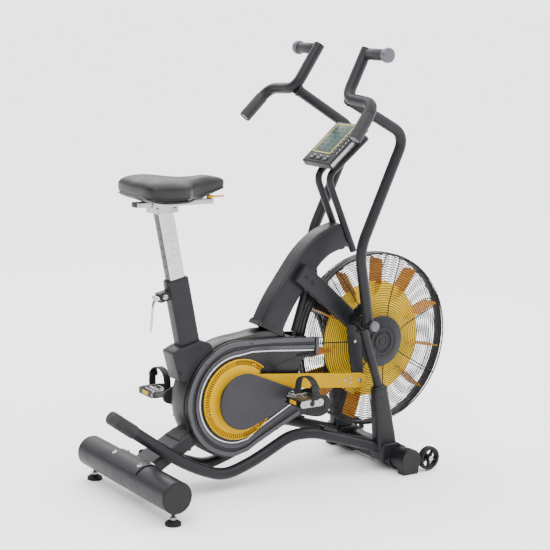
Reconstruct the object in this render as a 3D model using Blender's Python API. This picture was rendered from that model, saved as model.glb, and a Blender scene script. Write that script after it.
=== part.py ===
# Air bike with a wire-caged fan, swinging handle arms and an adjustable saddle.
# Metres, +X towards the front, +Y to the rider's left, +Z up.
# Lengths along X are measured from the rear stabiliser's axis and moved by station_shift at the end.
from math import atan2, cos, pi, radians, sin, tan

import bmesh
import bpy
from mathutils import Matrix, Vector

station_shift = -0.5380
fit_gap = 0.0003

rear_tube_z = 0.089
rear_tube_r = 0.050
rear_half_length = 0.272
foot_y = 0.252
front_x = 0.930
front_z = 0.045
front_r = 0.037
front_half_length = 0.186
wheel_x = 1.013
wheel_z = 0.043
wheel_r = 0.040

crank_x = 0.352
crank_z = 0.2924
crank_length = 0.175
drum_r = 0.190
housing_face = 0.053

fan_x = 0.913
fan_z = 0.4235
cage_r = 0.2955
cage_half = 0.040
cage_hub_y = 0.0615

pivot_x = 0.782
pivot_z = 0.511
rocker_length = 0.207
rocker_lean = radians(8.0)
left_arm_lead = radians(4.65)
rod_pin_throw = 0.063

seat_tan = 0.218
seat_axis = Vector((-seat_tan, 0, 1)).normalized()
seat_tube_top = Vector((0.1435, 0, 0.688))

for old in list(bpy.data.objects):
    bpy.data.objects.remove(old, do_unlink=True)

parts = bpy.data.collections.new("air_bike")
cutters = bpy.data.collections.new("cutters")
cutters.hide_render = True
for group in (parts, cutters):
    bpy.context.scene.collection.children.link(group)

charcoal = (0.045, 0.046, 0.052)
looks = {
    "painted": (charcoal, 0.35, 0.45),
    "plastic": ((0.018, 0.018, 0.020), 0.0, 0.5),
    "yellow": ((0.85, 0.50, 0.03), 0.0, 0.42),
    "chrome": ((0.80, 0.80, 0.80), 1.0, 0.12),
    "steel": ((0.55, 0.55, 0.56), 1.0, 0.3),
    "rubber": ((0.02, 0.02, 0.022), 0.0, 0.8),
    "leather": ((0.025, 0.025, 0.028), 0.0, 0.55),
}


def paint(obj, look):
    colour, metallic, roughness = looks[look]
    material = bpy.data.materials.new(obj.name + "_" + look)
    material.use_nodes = True
    shader = material.node_tree.nodes["Principled BSDF"]
    shader.inputs["Base Color"].default_value = (*colour, 1)
    shader.inputs["Metallic"].default_value = metallic
    shader.inputs["Roughness"].default_value = roughness
    obj.data.materials.append(material)


def solid(name, bm, group=parts):
    bmesh.ops.remove_doubles(bm, verts=bm.verts, dist=1e-6)
    bmesh.ops.recalc_face_normals(bm, faces=bm.faces)
    mesh = bpy.data.meshes.new(name)
    bm.to_mesh(mesh)
    bm.free()
    obj = bpy.data.objects.new(name, mesh)
    group.objects.link(obj)
    if group is cutters:
        obj.display_type = "WIRE"
    return obj


def smooth(obj):
    for face in obj.data.polygons:
        face.use_smooth = True
    return obj


def rounded_path(corners, bend, steps=3):
    """The corners joined by straight runs, with each inner corner turned by a short curve."""
    points = [Vector(c) for c in corners]
    path = [points[0]]
    for before, here, after in zip(points, points[1:], points[2:]):
        a, b = before - here, after - here
        reach = min(bend, a.length * 0.48, b.length * 0.48)
        start, end = here + a.normalized() * reach, here + b.normalized() * reach
        for i in range(steps + 1):
            t = i / steps
            path.append(start * (1 - t) ** 2 + here * (2 * t * (1 - t)) + end * t * t)
    path.append(points[-1])
    return path


def tube(name, corners, radius, bend=0.06, sides=12, group=parts, steps=4):
    path = rounded_path(corners, bend, steps)
    curve = bpy.data.curves.new(name, "CURVE")
    curve.dimensions = "3D"
    curve.bevel_depth = radius
    curve.bevel_resolution = (sides - 4) // 2
    curve.use_fill_caps = True
    spline = curve.splines.new("POLY")
    spline.points.add(len(path) - 1)
    for point, co in zip(spline.points, path):
        point.co = (*co, 1)
    guide = bpy.data.objects.new(name + "_guide", curve)
    mesh = bpy.data.meshes.new_from_object(guide)
    bpy.data.objects.remove(guide)
    bm = bmesh.new()
    bm.from_mesh(mesh)
    bpy.data.meshes.remove(mesh)
    return smooth(solid(name, bm, group))


def add_ring(bm, points):
    return [bm.verts.new(p) for p in points]


def loft(name, rings, group=parts):
    bm = bmesh.new()
    rows = [add_ring(bm, ring) for ring in rings]
    for low, high in zip(rows, rows[1:]):
        for i in range(len(low)):
            j = (i + 1) % len(low)
            bm.faces.new((low[i], low[j], high[j], high[i]))
    bm.faces.new(rows[0])
    bm.faces.new(reversed(rows[-1]))
    return solid(name, bm, group)


def box_section(centre, up, across, depth, width, corner, turns=2):
    points = []
    for sx, sy, first in ((1, 1, 0), (-1, 1, 1), (-1, -1, 2), (1, -1, 3)):
        for i in range(turns + 1):
            angle = (first + i / turns) * pi / 2
            u = sx * (depth / 2 - corner) + corner * cos(angle)
            v = sy * (width / 2 - corner) + corner * sin(angle)
            points.append(Vector(centre) + up * u + across * v)
    return points


def box_beam(name, corners, depths, widths, corner=0.008, bend=0.06, group=parts):
    """A rectangular tube along a path. Its depths and widths run from its first end to its last."""
    path = rounded_path(corners, bend)
    across = Vector((0, 1, 0))
    run = [0]
    for a, b in zip(path, path[1:]):
        run.append(run[-1] + (b - a).length)
    rings = []
    for i, point in enumerate(path):
        ahead = path[min(i + 1, len(path) - 1)] - path[max(i - 1, 0)]
        ahead = Vector((ahead.x, 0, ahead.z))
        up = across.cross(ahead).normalized()
        share = run[i] / run[-1]
        depth = depths[0] + (depths[1] - depths[0]) * share
        width = widths[0] + (widths[1] - widths[0]) * share
        rings.append(box_section(point, up, across, depth, width, corner))
    return loft(name, rings, group)


def prism(name, outline, y_from, y_to, group=parts):
    """An outline in X and Z, drawn out along Y."""
    bm = bmesh.new()
    low = add_ring(bm, [(x, y_from, z) for x, z in outline])
    high = add_ring(bm, [(x, y_to, z) for x, z in outline])
    for i in range(len(low)):
        j = (i + 1) % len(low)
        bm.faces.new((low[i], low[j], high[j], high[i]))
    bm.faces.new(low)
    bm.faces.new(reversed(high))
    return solid(name, bm, group)


def block(name, low, high, group=parts, bevel=0.0):
    bm = bmesh.new()
    bmesh.ops.create_cube(bm, size=1)
    for v in bm.verts:
        v.co = Vector(l + (h - l) * (c + 0.5) for l, h, c in zip(low, high, v.co))
    if bevel:
        bmesh.ops.bevel(bm, geom=bm.edges, offset=bevel, segments=2, profile=0.5, affect="EDGES")
    return solid(name, bm, group)


def rod(name, start, end, radius, sides=20, group=parts, end_radius=None):
    start, end = Vector(start), Vector(end)
    bm = bmesh.new()
    bmesh.ops.create_cone(
        bm,
        cap_ends=True,
        segments=sides,
        radius1=radius,
        radius2=radius if end_radius is None else end_radius,
        depth=(end - start).length,
        matrix=Matrix.Translation((start + end) / 2)
        @ (end - start).to_track_quat("Z", "Y").to_matrix().to_4x4(),
    )
    return smooth(solid(name, bm, group))


def turned(name, profile, centre, sides=24, group=parts):
    """A profile of (radius, y) turned round a line along Y through centre, given as (x, z)."""
    bm = bmesh.new()
    rows = []
    for i in range(sides):
        a = 2 * pi * i / sides
        row = []
        for r, y in profile:
            row.append(bm.verts.new((centre[0] + r * cos(a), y, centre[1] + r * sin(a))))
        rows.append(row)
    closed = profile[0][0] > 1e-6
    count = len(profile)
    for i in range(sides):
        here, there = rows[i], rows[(i + 1) % sides]
        for k in range(count if closed else count - 1):
            m = (k + 1) % count
            bm.faces.new((here[k], here[m], there[m], there[k]))
    if not closed:
        bmesh.ops.remove_doubles(bm, verts=bm.verts, dist=1e-6)
    return smooth(solid(name, bm, group))


def joined(obj, *others):
    for other in others:
        parts_or_cutters = other.users_collection[0]
        if parts_or_cutters is parts:
            parts.objects.unlink(other)
            cutters.objects.link(other)
        other.hide_render = True
        other.display_type = "WIRE"
        weld = obj.modifiers.new("join_" + other.name, "BOOLEAN")
        weld.operation = "UNION"
        weld.solver = "EXACT"
        weld.object = other
    return obj


def cut(obj, *others):
    for other in others:
        other.hide_render = True
        other.display_type = "WIRE"
        saw = obj.modifiers.new("cut_" + other.name, "BOOLEAN")
        saw.operation = "DIFFERENCE"
        saw.solver = "EXACT"
        saw.object = other
    return obj


def arc(centre, radius, start, end, steps):
    """Points on a circle in the XZ plane, angles in degrees from +X towards +Z."""
    out = []
    for i in range(steps + 1):
        a = radians(start + (end - start) * i / steps)
        out.append((centre[0] + radius * cos(a), centre[1] + radius * sin(a)))
    return out


sides_of = (("right", -1), ("left", 1))

# ---- frame on the floor ----
paint(
    rod(
        "rear_stabiliser",
        (0, -rear_half_length, rear_tube_z),
        (0, rear_half_length, rear_tube_z),
        rear_tube_r,
        32,
    ),
    "painted",
)
for side, s in sides_of:
    cap_y = rear_half_length + fit_gap
    profile = [(0, cap_y), (rear_tube_r, cap_y), (rear_tube_r, cap_y + 0.003)]
    profile += [(rear_tube_r - 0.003, cap_y + 0.006), (0, cap_y + 0.006)]
    cap = turned("rear_cap_" + side, [(r, s * y) for r, y in profile], (0, rear_tube_z), 32)
    paint(cap, "plastic")
    foot = rod("level_foot_" + side, (0, s * foot_y, 0), (0, s * foot_y, 0.010), 0.0245, 20)
    joined(
        foot,
        rod("foot_cone_" + side, (0, s * foot_y, 0.009), (0, s * foot_y, 0.016), 0.019, 16, cutters),
        rod("foot_nut_" + side, (0, s * foot_y, 0.015), (0, s * foot_y, 0.024), 0.011, 6, cutters),
        rod("foot_stem_" + side, (0, s * foot_y, 0.020), (0, s * foot_y, 0.0385), 0.006, 12, cutters),
    )
    paint(foot, "rubber")

# flat box beam from the rear stabiliser up to the housing
beam_low = Vector((0.030, 0, 0.098))
beam_high = Vector((0.182, 0, 0.180))
rear_beam = box_beam("rear_beam", [beam_low, beam_high], (0.046, 0.046), (0.104, 0.104), 0.008)
cut(
    rear_beam,
    rod("rear_tube_space", (0, -0.3, rear_tube_z), (0, 0.3, rear_tube_z), rear_tube_r + fit_gap, 32, cutters),
)
paint(rear_beam, "painted")

rail_r = 0.019
rail_y = 0.0715
# x, distance from the middle plane, z: under the housing the rails run inside the circle of the cranks
rail_run = [(0.207, 0.0708, 0.0857), (0.298, 0.0620, 0.0525), (0.405, 0.0600, 0.0820)]
rail_rise = [(0.548, 0.0640, 0.1505), (0.619, 0.0920, 0.1580)]
rail_end = (0.905, 0.1180, 0.0670)
rail_beyond = (0.925, 0.1198, 0.0606)
for side, s in sides_of:
    if s < 0:
        lead = [(-0.034, rail_y, 0.242), (0.120, rail_y, 0.132)]
    else:
        lead = [(0.070, rail_y, 0.117), (0.120, rail_y, 0.118)]
    corners = lead + rail_run + rail_rise + [rail_end]
    rail = tube("side_rail_" + side, [(x, s * y, z) for x, y, z in corners], rail_r, 0.05, 12, steps=3)
    cut(
        rail,
        rod(
            "front_tube_space_" + side,
            (front_x, s * 0.05, front_z),
            (front_x, s * 0.2, front_z),
            front_r + fit_gap,
            28,
            cutters,
        ),
    )
    paint(rail, "painted")
lift_grip = tube(
    "lift_grip",
    [(-0.119, -0.0715, 0.3027), (-0.0345, -0.0715, 0.24236)],
    0.0215,
    0.03,
    16,
)
paint(lift_grip, "rubber")

paint(
    rod(
        "front_stabiliser",
        (front_x, -front_half_length, front_z),
        (front_x, front_half_length, front_z),
        front_r,
        28,
    ),
    "painted",
)
for side, s in sides_of:
    inner = front_half_length + fit_gap
    outline = arc((front_x, front_z), 0.0405, -35, 215, 18)
    outline += [(front_x - 0.031, 0.0), (front_x + 0.031, 0.0)]
    cap = prism("front_cap_" + side, outline, s * inner, s * (inner + 0.036))
    strut = prism(
        "wheel_strut_" + side,
        [
            (front_x + 0.020, front_z - 0.013),
            (wheel_x, wheel_z - 0.012),
            (wheel_x + 0.011, wheel_z),
            (wheel_x, wheel_z + 0.012),
            (front_x + 0.020, front_z + 0.013),
        ],
        s * (inner + 0.002),
        s * (inner + 0.008),
        cutters,
    )
    pin = rod(
        "wheel_pin_" + side,
        (wheel_x, s * (inner + 0.004), wheel_z),
        (wheel_x, s * (inner + 0.040), wheel_z),
        0.0055,
        14,
        cutters,
    )
    paint(joined(cap, strut, pin), "plastic")
    wheel_y = inner + 0.010
    profile = [
        (0.0062, wheel_y),
        (0.012, wheel_y),
        (0.014, wheel_y + 0.008),
        (0.028, wheel_y + 0.008),
        (0.030, wheel_y + 0.001),
        (wheel_r - 0.002, wheel_y + 0.001),
        (wheel_r, wheel_y + 0.004),
        (wheel_r, wheel_y + 0.020),
        (wheel_r - 0.002, wheel_y + 0.023),
        (0.030, wheel_y + 0.023),
        (0.028, wheel_y + 0.016),
        (0.014, wheel_y + 0.016),
        (0.012, wheel_y + 0.024),
        (0.0062, wheel_y + 0.024),
    ]
    wheel = turned("wheel_" + side, [(r, s * y) for r, y in profile], (wheel_x, wheel_z), 20)
    paint(wheel, "plastic")

# ---- fork legs with the bearing barrels of the handle arms ----
leg_y = 0.1195
barrel_in, barrel_out = 0.1045, 0.1335
for side, s in sides_of:
    base = Vector((0.893, s * leg_y, 0.083))
    middle = Vector((0.8595, s * leg_y, 0.285))
    top = Vector((pivot_x, s * leg_y, pivot_z - 0.010))
    sleeve_axis = (middle - base).normalized()
    sleeve_up = Vector((0, 1, 0)).cross(sleeve_axis)
    rings = []
    for point, depth, width in (
        (base - sleeve_axis * 0.004, 0.076, 0.044),
        (base + sleeve_axis * 0.030, 0.076, 0.044),
        (middle, 0.054, 0.038),
        (middle + sleeve_axis * 0.006, 0.040, 0.034),
    ):
        rings.append(box_section(point, sleeve_up, Vector((0, 1, 0)), depth, width, 0.010))
    leg = loft("fork_leg_" + side, rings)
    saddle_plate = prism(
        "leg_plate_" + side,
        [(0.902 + x, z) for x, z in ((-0.040, 0.030), (-0.040, 0.092), (0.030, 0.092), (0.060, 0.070))],
        s * (leg_y - 0.034),
        s * (leg_y + 0.034),
        cutters,
    )
    upper = tube("leg_tube_" + side, [middle - sleeve_axis * 0.02, middle, top], 0.0145, 0.03, 14, cutters)
    barrel = rod(
        "leg_barrel_" + side,
        (pivot_x, s * barrel_in, pivot_z),
        (pivot_x, s * barrel_out, pivot_z),
        0.0225,
        24,
        cutters,
    )
    joined(leg, saddle_plate, upper, barrel)
    cut(
        leg,
        rod(
            "leg_bore_" + side,
            (pivot_x, s * 0.07, pivot_z),
            (pivot_x, s * 0.17, pivot_z),
            0.0113,
            24,
            cutters,
        ),
        rod(
            "leg_tube_space_" + side,
            (front_x, s * 0.06, front_z),
            (front_x, s * 0.18, front_z),
            front_r + 2 * fit_gap,
            28,
            cutters,
        ),
        tube(
            "rail_space_" + side,
            [(x, s * y, z) for x, y, z in rail_rise + [rail_beyond]],
            rail_r + 2 * fit_gap,
            0.05,
            14,
            cutters,
        ),
    )
    paint(leg, "painted")

# ---- main beam, box arms to the pivots, console mast ----
beam_half = 0.0355
main_path = [(0.483, 0, 0.500), (0.520, 0, 0.575), (0.622, 0, 0.715), (0.680, 0, 0.765), (0.756, 0, 0.789)]
main_beam = box_beam("main_beam", main_path, (0.092, 0.084), (beam_half * 2, beam_half * 2), 0.010, 0.055)
fan_strut = rod("fan_strut", (0.652, 0, 0.672), (0.5935, 0, 0.478), 0.0125, 16, cutters)
joined(main_beam, fan_strut)
paint(main_beam, "painted")
for side, s in sides_of:
    near_mid = beam_half + fit_gap + 0.013
    far_mid = 0.0556
    arm = box_beam(
        "box_arm_" + side,
        [(0.575, s * near_mid, 0.682), (0.640, s * near_mid, 0.632), (pivot_x, s * far_mid, pivot_z)],
        (0.066, 0.060),
        (0.026, 0.015),
        0.005,
        0.02,
    )
    nose = rod(
        "arm_nose_" + side,
        (pivot_x, s * (far_mid - 0.008), pivot_z),
        (pivot_x, s * (far_mid + 0.008), pivot_z),
        0.0305,
        28,
        cutters,
    )
    bore = rod(
        "arm_bore_" + side,
        (pivot_x, s * (far_mid - 0.005), pivot_z),
        (pivot_x, s * (far_mid + 0.05), pivot_z),
        0.0113,
        24,
        cutters,
    )
    paint(cut(joined(arm, nose), bore), "painted")

tilt = radians(41.0)
face_up = Vector((-sin(tilt), 0, cos(tilt)))
face_along = Vector((cos(tilt), 0, sin(tilt)))
console_mid = Vector((0.7350, 0, 1.0820))
console_hinge = console_mid + face_along * 0.088 - face_up * 0.024
mast_tubes = []
for side, s in sides_of:
    mast_tubes.append(
        tube(
            "mast_tube_" + side,
            [(0.800, s * 0.031, 0.735), (0.686, s * 0.031, 0.984), (0.836, s * 0.031, 1.106)],
            0.0115,
            0.035,
            12,
            parts if s < 0 else cutters,
            6,
        )
    )
mast = mast_tubes[0]
mast.name = "console_mast"
mast_lean = Vector((0.114, 0, -0.249)).normalized()
plate_at = Vector((0.7793, 0, 0.7800))
plate = box_beam(
    "mast_plate",
    [plate_at - mast_lean * 0.04, plate_at + mast_lean * 0.038],
    (0.005, 0.005),
    (0.062, 0.062),
    0.002,
    0.01,
    cutters,
)
head = block("mast_head", (0.812, -0.034, 1.093), (0.838, 0.034, 1.108), cutters, 0.003)
lugs = [
    prism(
        "mast_lug_" + side,
        arc((console_hinge.x, console_hinge.z), 0.0085, 0, 180, 8)
        + [(console_hinge.x - 0.0085, 1.100), (console_hinge.x + 0.0085, 1.100)],
        s * 0.0105,
        s * 0.0185,
        cutters,
    )
    for side, s in sides_of
]
joined(mast, mast_tubes[1], plate, head, *lugs)
paint(mast, "painted")

# ---- housing of the drive ----
crank_at = (crank_x, crank_z)
outline = arc(crank_at, drum_r, 93, 268, 26)
outline += [(0.392, 0.1130), (0.430, 0.1330), (0.513, 0.1720), (0.600, 0.2080), (0.640, 0.1960)]
outline += [(0.676, 0.1890), (0.703, 0.1960), (0.717, 0.2150), (0.719, 0.2380), (0.708, 0.2580)]
outline += [(0.688, 0.2640), (0.612, 0.2660)]
outline += [(0.582, 0.3000), (0.578, 0.3600), (0.598, 0.4000), (0.648, 0.4020), (0.658, 0.4100)]
outline += [(0.660, 0.4560), (0.650, 0.4670), (0.480, 0.4790)]
cage_space = rod(
    "cage_space", (fan_x, -0.0475, fan_z), (fan_x, 0.0475, fan_z), cage_r + 0.008, 48, cutters
)
shaft_space = rod(
    "shaft_space", (crank_x, -0.2, crank_z), (crank_x, 0.2, crank_z), 0.0135, 24, cutters
)
beam_space = rod("strut_space", (0.652, 0, 0.672), (0.5935, 0, 0.47), 0.0130, 16, cutters)
seam = 0.034
centre_outline = arc(crank_at, drum_r + 0.004, 96, 264, 26)
centre_outline += [(0.400, 0.1210), (0.513, 0.1780), (0.5950, 0.2140), (0.5950, 0.4560), (0.580, 0.4660)]
centre_outline += [(0.535, 0.4730), (0.532, 0.4990), (0.440, 0.4990), (0.400, 0.4920)]
core = prism("housing_centre", centre_outline, -seam + fit_gap, seam - fit_gap)
beam_seat = box_beam(
    "beam_seat",
    [(0.4781, 0, 0.490), main_path[0], (0.520, 0, 0.575)],
    (0.0932, 0.0932),
    (beam_half * 2 + 0.001,) * 2,
    0.010,
    0.02,
    cutters,
)
cut(core, shaft_space, cage_space, beam_space, beam_seat)
paint(core, "plastic")
for side, s in sides_of:
    shell = prism("housing_" + side, outline, s * seam, s * (housing_face - 0.004))
    rim = [
        (crank_x + (x - crank_x) * 0.975 + 0.004, crank_z + (z - crank_z) * 0.965 + 0.002) for x, z in outline
    ]
    face = prism("housing_face_" + side, rim, s * (housing_face - 0.006), s * housing_face, cutters)
    paint(cut(joined(shell, face), shaft_space, cage_space), "plastic")

    ring_outline = arc(crank_at, 0.1306, 47, 326, 30) + arc(crank_at, 0.0935, 326, 47, 26)
    ring_low = s * (housing_face + fit_gap)
    ring = prism("housing_ring_" + side, ring_outline, ring_low, s * (housing_face + 0.0053))
    paint(ring, "yellow")

# ---- seat tube, bracket, clamp ----
up = Vector((1, 0, seat_tan)).normalized()
seat_bottom = seat_tube_top - seat_axis * 0.207
seat_tube = loft(
    "seat_tube",
    [
        box_section(seat_bottom, up, Vector((0, 1, 0)), 0.072, 0.046, 0.007),
        box_section(seat_tube_top, up, Vector((0, 1, 0)), 0.072, 0.046, 0.007),
    ],
)
seat_bore = loft(
    "seat_bore",
    [
        box_section(seat_bottom + seat_axis * 0.004, up, Vector((0, 1, 0)), 0.0546, 0.0366, 0.0053),
        box_section(seat_tube_top + seat_axis * 0.02, up, Vector((0, 1, 0)), 0.0546, 0.0366, 0.0053),
    ],
    cutters,
)
paint(cut(seat_tube, seat_bore), "painted")

bracket_outline = [(0.1445, 0.370), (0.1180, 0.462), (0.1512, 0.4768), (0.2236, 0.4926)]
bracket_outline += [(0.2560, 0.4790), (0.270, 0.440), (0.190, 0.360)]
bracket = prism("seat_bracket", bracket_outline, -0.0335, 0.0335)
cut(
    bracket,
    rod("drum_space", (crank_x, -0.1, crank_z), (crank_x, 0.1, crank_z), drum_r + 0.0045, 120, cutters),
)
paint(bracket, "painted")

clamp_at = seat_tube_top - seat_axis * 0.040 - up * 0.0363
clamp = box_beam(
    "clamp_block",
    [clamp_at - up * 0.034, clamp_at],
    (0.030, 0.030),
    (0.034, 0.034),
    0.004,
)
paint(clamp, "plastic")
lever_at = clamp_at - up * 0.034 + Vector((-0.0085, 0, 0))
lever_half = Vector((0, 0.013, 0))
lever = rod("clamp_lever", lever_at - lever_half, lever_at + lever_half, 0.0075, 16)
joined(
    lever,
    tube(
        "lever_stem",
        [
            lever_at,
            lever_at + Vector((-0.010, 0, -0.020)),
            lever_at + Vector((-0.016, 0, -0.104)),
        ],
        0.0045,
        0.012,
        10,
        cutters,
    ),
)
paint(lever, "chrome")

# ---- seat post, fore-aft slide and saddle ----
post_top = seat_tube_top + seat_axis * 0.2180
post_bottom = seat_tube_top - seat_axis * 0.120
post = loft(
    "seat_post",
    [
        box_section(post_bottom, up, Vector((0, 1, 0)), 0.054, 0.036, 0.005),
        box_section(post_top, up, Vector((0, 1, 0)), 0.054, 0.036, 0.005),
    ],
)
track = [(-0.023, 0.898), (0.023, 0.898), (0.023, 0.930), (0.0158, 0.930), (0.0158, 0.9165)]
track += [(-0.0158, 0.9165), (-0.0158, 0.930), (-0.023, 0.930)]
bm = bmesh.new()
near = add_ring(bm, [(0.050, y, z) for y, z in track])
far = add_ring(bm, [(0.138, y, z) for y, z in track])
for i in range(len(track)):
    j = (i + 1) % len(track)
    bm.faces.new((near[i], near[j], far[j], far[i]))
bm.faces.new(near)
bm.faces.new(reversed(far))
joined(post, solid("slide_track", bm, cutters))
paint(post, "chrome")
paint(block("slide_bar", (-0.002, -0.0155, 0.9170), (0.268, 0.0155, 0.9330), parts, 0.0015), "steel")

hinge = Vector((0.2615, 0, 0.9382))
lever_half = Vector((0, 0, 0.0045))
lever = rod("slide_lever", hinge - lever_half, hinge + lever_half, 0.0105, 20)
joined(
    lever,
    block(
        "lever_blade",
        (hinge.x + 0.004, -0.007, 0.9350),
        (hinge.x + 0.052, 0.007, 0.9415),
        cutters,
        0.0015,
    ),
)
paint(lever, "yellow")

saddle_rows = [
    # x, half width, top, underside
    (-0.012, 0.070, 0.988, 0.960),
    (-0.006, 0.104, 0.999, 0.946),
    (0.012, 0.119, 1.008, 0.938),
    (0.055, 0.124, 1.010, 0.9335),
    (0.100, 0.1235, 1.006, 0.9335),
    (0.132, 0.113, 1.001, 0.9335),
    (0.152, 0.082, 0.999, 0.9335),
    (0.172, 0.056, 0.999, 0.9335),
    (0.210, 0.044, 1.002, 0.9345),
    (0.240, 0.040, 1.004, 0.9460),
    (0.290, 0.031, 1.001, 0.962),
    (0.304, 0.018, 0.991, 0.972),
]
rings = []
for x, half, top, low in saddle_rows:
    mid = (top + low) / 2
    ring = []
    for i in range(16):
        a = 2 * pi * i / 16
        c, q = cos(a), sin(a)
        across = half * (abs(c) ** 0.6) * (1 if c >= 0 else -1)
        lift = (abs(q) ** 0.75) * (1 if q >= 0 else -1)
        lift *= (top - mid) if q >= 0 else (mid - low)
        ring.append((x, across, mid + lift))
    rings.append(ring)
paint(smooth(loft("saddle", rings)), "leather")

# ---- crank ----
shaft_end = 0.0817
crank_shaft = rod(
    "crank_shaft", (crank_x, -shaft_end, crank_z), (crank_x, shaft_end, crank_z), 0.0125, 20
)
paint(crank_shaft, "steel")
cover_in, cover_out = 0.0820, 0.0905
for side, s in sides_of:
    reach = crank_length * -s
    tip = (crank_x + reach, crank_z)
    flare = 67.4
    if s < 0:
        outline = arc(crank_at, 0.0906, flare, 360 - flare, 30)
        outline += arc(tip, 0.0235, -flare, flare, 10)
    else:
        outline = arc(crank_at, 0.0906, flare - 180, 180 - flare, 30)
        outline += arc(tip, 0.0235, 180 - flare, 180 + flare, 10)
    cover = prism("crank_cover_" + side, outline, s * cover_in, s * cover_out)
    paint(cover, "plastic")

# ---- pedals ----
for side, s in sides_of:
    px = crank_x - s * crank_length
    start = cover_out + 0.002
    pedal = block(
        "pedal_" + side,
        (px - 0.045, min(s * 0.118, s * 0.208), crank_z - 0.012),
        (px + 0.045, max(s * 0.118, s * 0.208), crank_z + 0.012),
        parts,
        0.003,
    )
    window = []
    for k in (-1, 1):
        window.append(
            block(
                "pedal_window_%s_%d" % (side, k),
                (px + k * 0.025 - 0.0125, min(s * 0.130, s * 0.196), crank_z - 0.03),
                (px + k * 0.025 + 0.0125, max(s * 0.130, s * 0.196), crank_z + 0.03),
                cutters,
            )
        )
    spindle = rod(
        "spindle_" + side, (px, s * start, crank_z), (px, s * 0.125, crank_z), 0.0075, 14, cutters
    )
    joined(pedal, spindle)
    cut(pedal, *window)
    paint(pedal, "plastic")
    band = []
    for y, z in ((0.1177, 0.0090), (0.1155, 0.030), (0.1230, 0.058), (0.1430, 0.072)):
        band.append((y, z))
    for y, z in ((0.1830, 0.072), (0.2030, 0.058), (0.2105, 0.030), (0.2083, 0.0090)):
        band.append((y, z))
    inner = []
    for y, z in ((0.2109, 0.0090), (0.2131, 0.031), (0.2048, 0.0605), (0.1838, 0.0748)):
        inner.append((y, z))
    for y, z in ((0.1422, 0.0748), (0.1212, 0.0605), (0.1129, 0.031), (0.1151, 0.0090)):
        inner.append((y, z))
    bm = bmesh.new()
    ring_points = band + inner
    near = add_ring(bm, [(px - 0.004, s * y, crank_z + z) for y, z in ring_points])
    far = add_ring(bm, [(px + 0.022, s * y, crank_z + z) for y, z in ring_points])
    for i in range(len(ring_points)):
        j = (i + 1) % len(ring_points)
        bm.faces.new((near[i], near[j], far[j], far[i]))
    bm.faces.new(near)
    bm.faces.new(reversed(far))
    paint(solid("pedal_strap_" + side, bm), "plastic")

# ---- fan, its axle and the wire cage in two halves ----
spokes = 7
spoke_start = radians(73.5)
stations = [
    # radius, outer face, inner face: a gap follows the rows marked with False
    (0.0130, cage_hub_y, 0.0520, True),
    (0.0580, cage_hub_y, 0.0520, True),
    (0.0600, 0.0590, 0.0520, True),
    (0.0860, 0.0570, 0.0525, False),
    (0.1330, 0.0462, 0.0422, True),
    (0.1375, 0.0461, 0.0421, False),
    (0.1850, 0.0443, 0.0403, True),
    (0.1895, 0.0441, 0.0401, False),
    (0.2370, 0.0423, 0.0383, True),
    (0.2415, 0.0421, 0.0381, False),
    (0.2860, 0.0404, 0.0364, True),
    (0.2868, 0.0400, 0.0006, True),
    (0.2925, cage_half, 0.0006, True),
    (cage_r, 0.0180, 0.0006, True),
]
half_spoke = 0.0125
angles = []
for i in range(spokes):
    middle = spoke_start + 2 * pi * i / spokes
    step = 2 * pi / spokes
    angles += [(middle - half_spoke, True), (middle + half_spoke, False)]
    for k in (1, 2):
        angles.append((middle + half_spoke + (step - 2 * half_spoke) * k / 3, False))
for side, s in sides_of:
    bm = bmesh.new()
    outer_v, inner_v = {}, {}
    n = len(angles)
    for r in range(len(stations)):
        radius, y_out, y_in, _ = stations[r]
        for a in range(n):
            x = fan_x + radius * cos(angles[a][0])
            z = fan_z + radius * sin(angles[a][0])
            outer_v[r, a] = bm.verts.new((x, s * y_out, z))
            inner_v[r, a] = bm.verts.new((x, s * y_in, z))

    def filled(r, a):
        if r < 0 or r >= len(stations) - 1:
            return False
        return stations[r][3] or angles[a % n][1]

    for r in range(len(stations) - 1):
        for a in range(n):
            if not filled(r, a):
                continue
            b = (a + 1) % n
            q = r + 1
            bm.faces.new((outer_v[r, a], outer_v[r, b], outer_v[q, b], outer_v[q, a]))
            bm.faces.new((inner_v[r, a], inner_v[q, a], inner_v[q, b], inner_v[r, b]))
            if not filled(r - 1, a):
                bm.faces.new((outer_v[r, a], inner_v[r, a], inner_v[r, b], outer_v[r, b]))
            if not filled(q, a):
                bm.faces.new((outer_v[q, b], inner_v[q, b], inner_v[q, a], outer_v[q, a]))
            if not filled(r, a - 1):
                bm.faces.new((outer_v[r, a], outer_v[q, a], inner_v[q, a], inner_v[r, a]))
            if not filled(r, a + 1):
                bm.faces.new((outer_v[r, b], inner_v[r, b], inner_v[q, b], outer_v[q, b]))
    for v in [v for v in bm.verts if not v.link_faces]:
        bm.verts.remove(v)
    paint(solid("fan_cage_" + side, bm), "painted")

paint(rod("fan_axle", (fan_x, -0.0600, fan_z), (fan_x, 0.0600, fan_z), 0.0110, 20), "steel")
disc_r = 0.198
fan_profile = [(0.0125, -0.030), (0.034, -0.030), (0.034, -0.002), (disc_r, -0.002)]
fan_profile += [(disc_r, 0.002), (0.034, 0.002), (0.034, 0.030), (0.0125, 0.030)]
fan = turned("fan_wheel", fan_profile, (fan_x, fan_z), 40)
paddle_count = 11
paddle_start = radians(87.6)
paddles = bmesh.new()
for i in range(paddle_count):
    lift = paddle_start + 2 * pi * i / paddle_count
    turn = Matrix.Translation((fan_x, 0, fan_z)) @ Matrix.Rotation(-lift, 4, "Y")
    corner = bmesh.ops.create_cube(paddles, size=1)["verts"]
    for v in corner:
        v.co = turn @ Vector((0.105 + (v.co.x + 0.5) * 0.171, v.co.y * 0.070, v.co.z * 0.003))
joined(fan, solid("fan_paddles", paddles, cutters))
paint(fan, "yellow")

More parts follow.
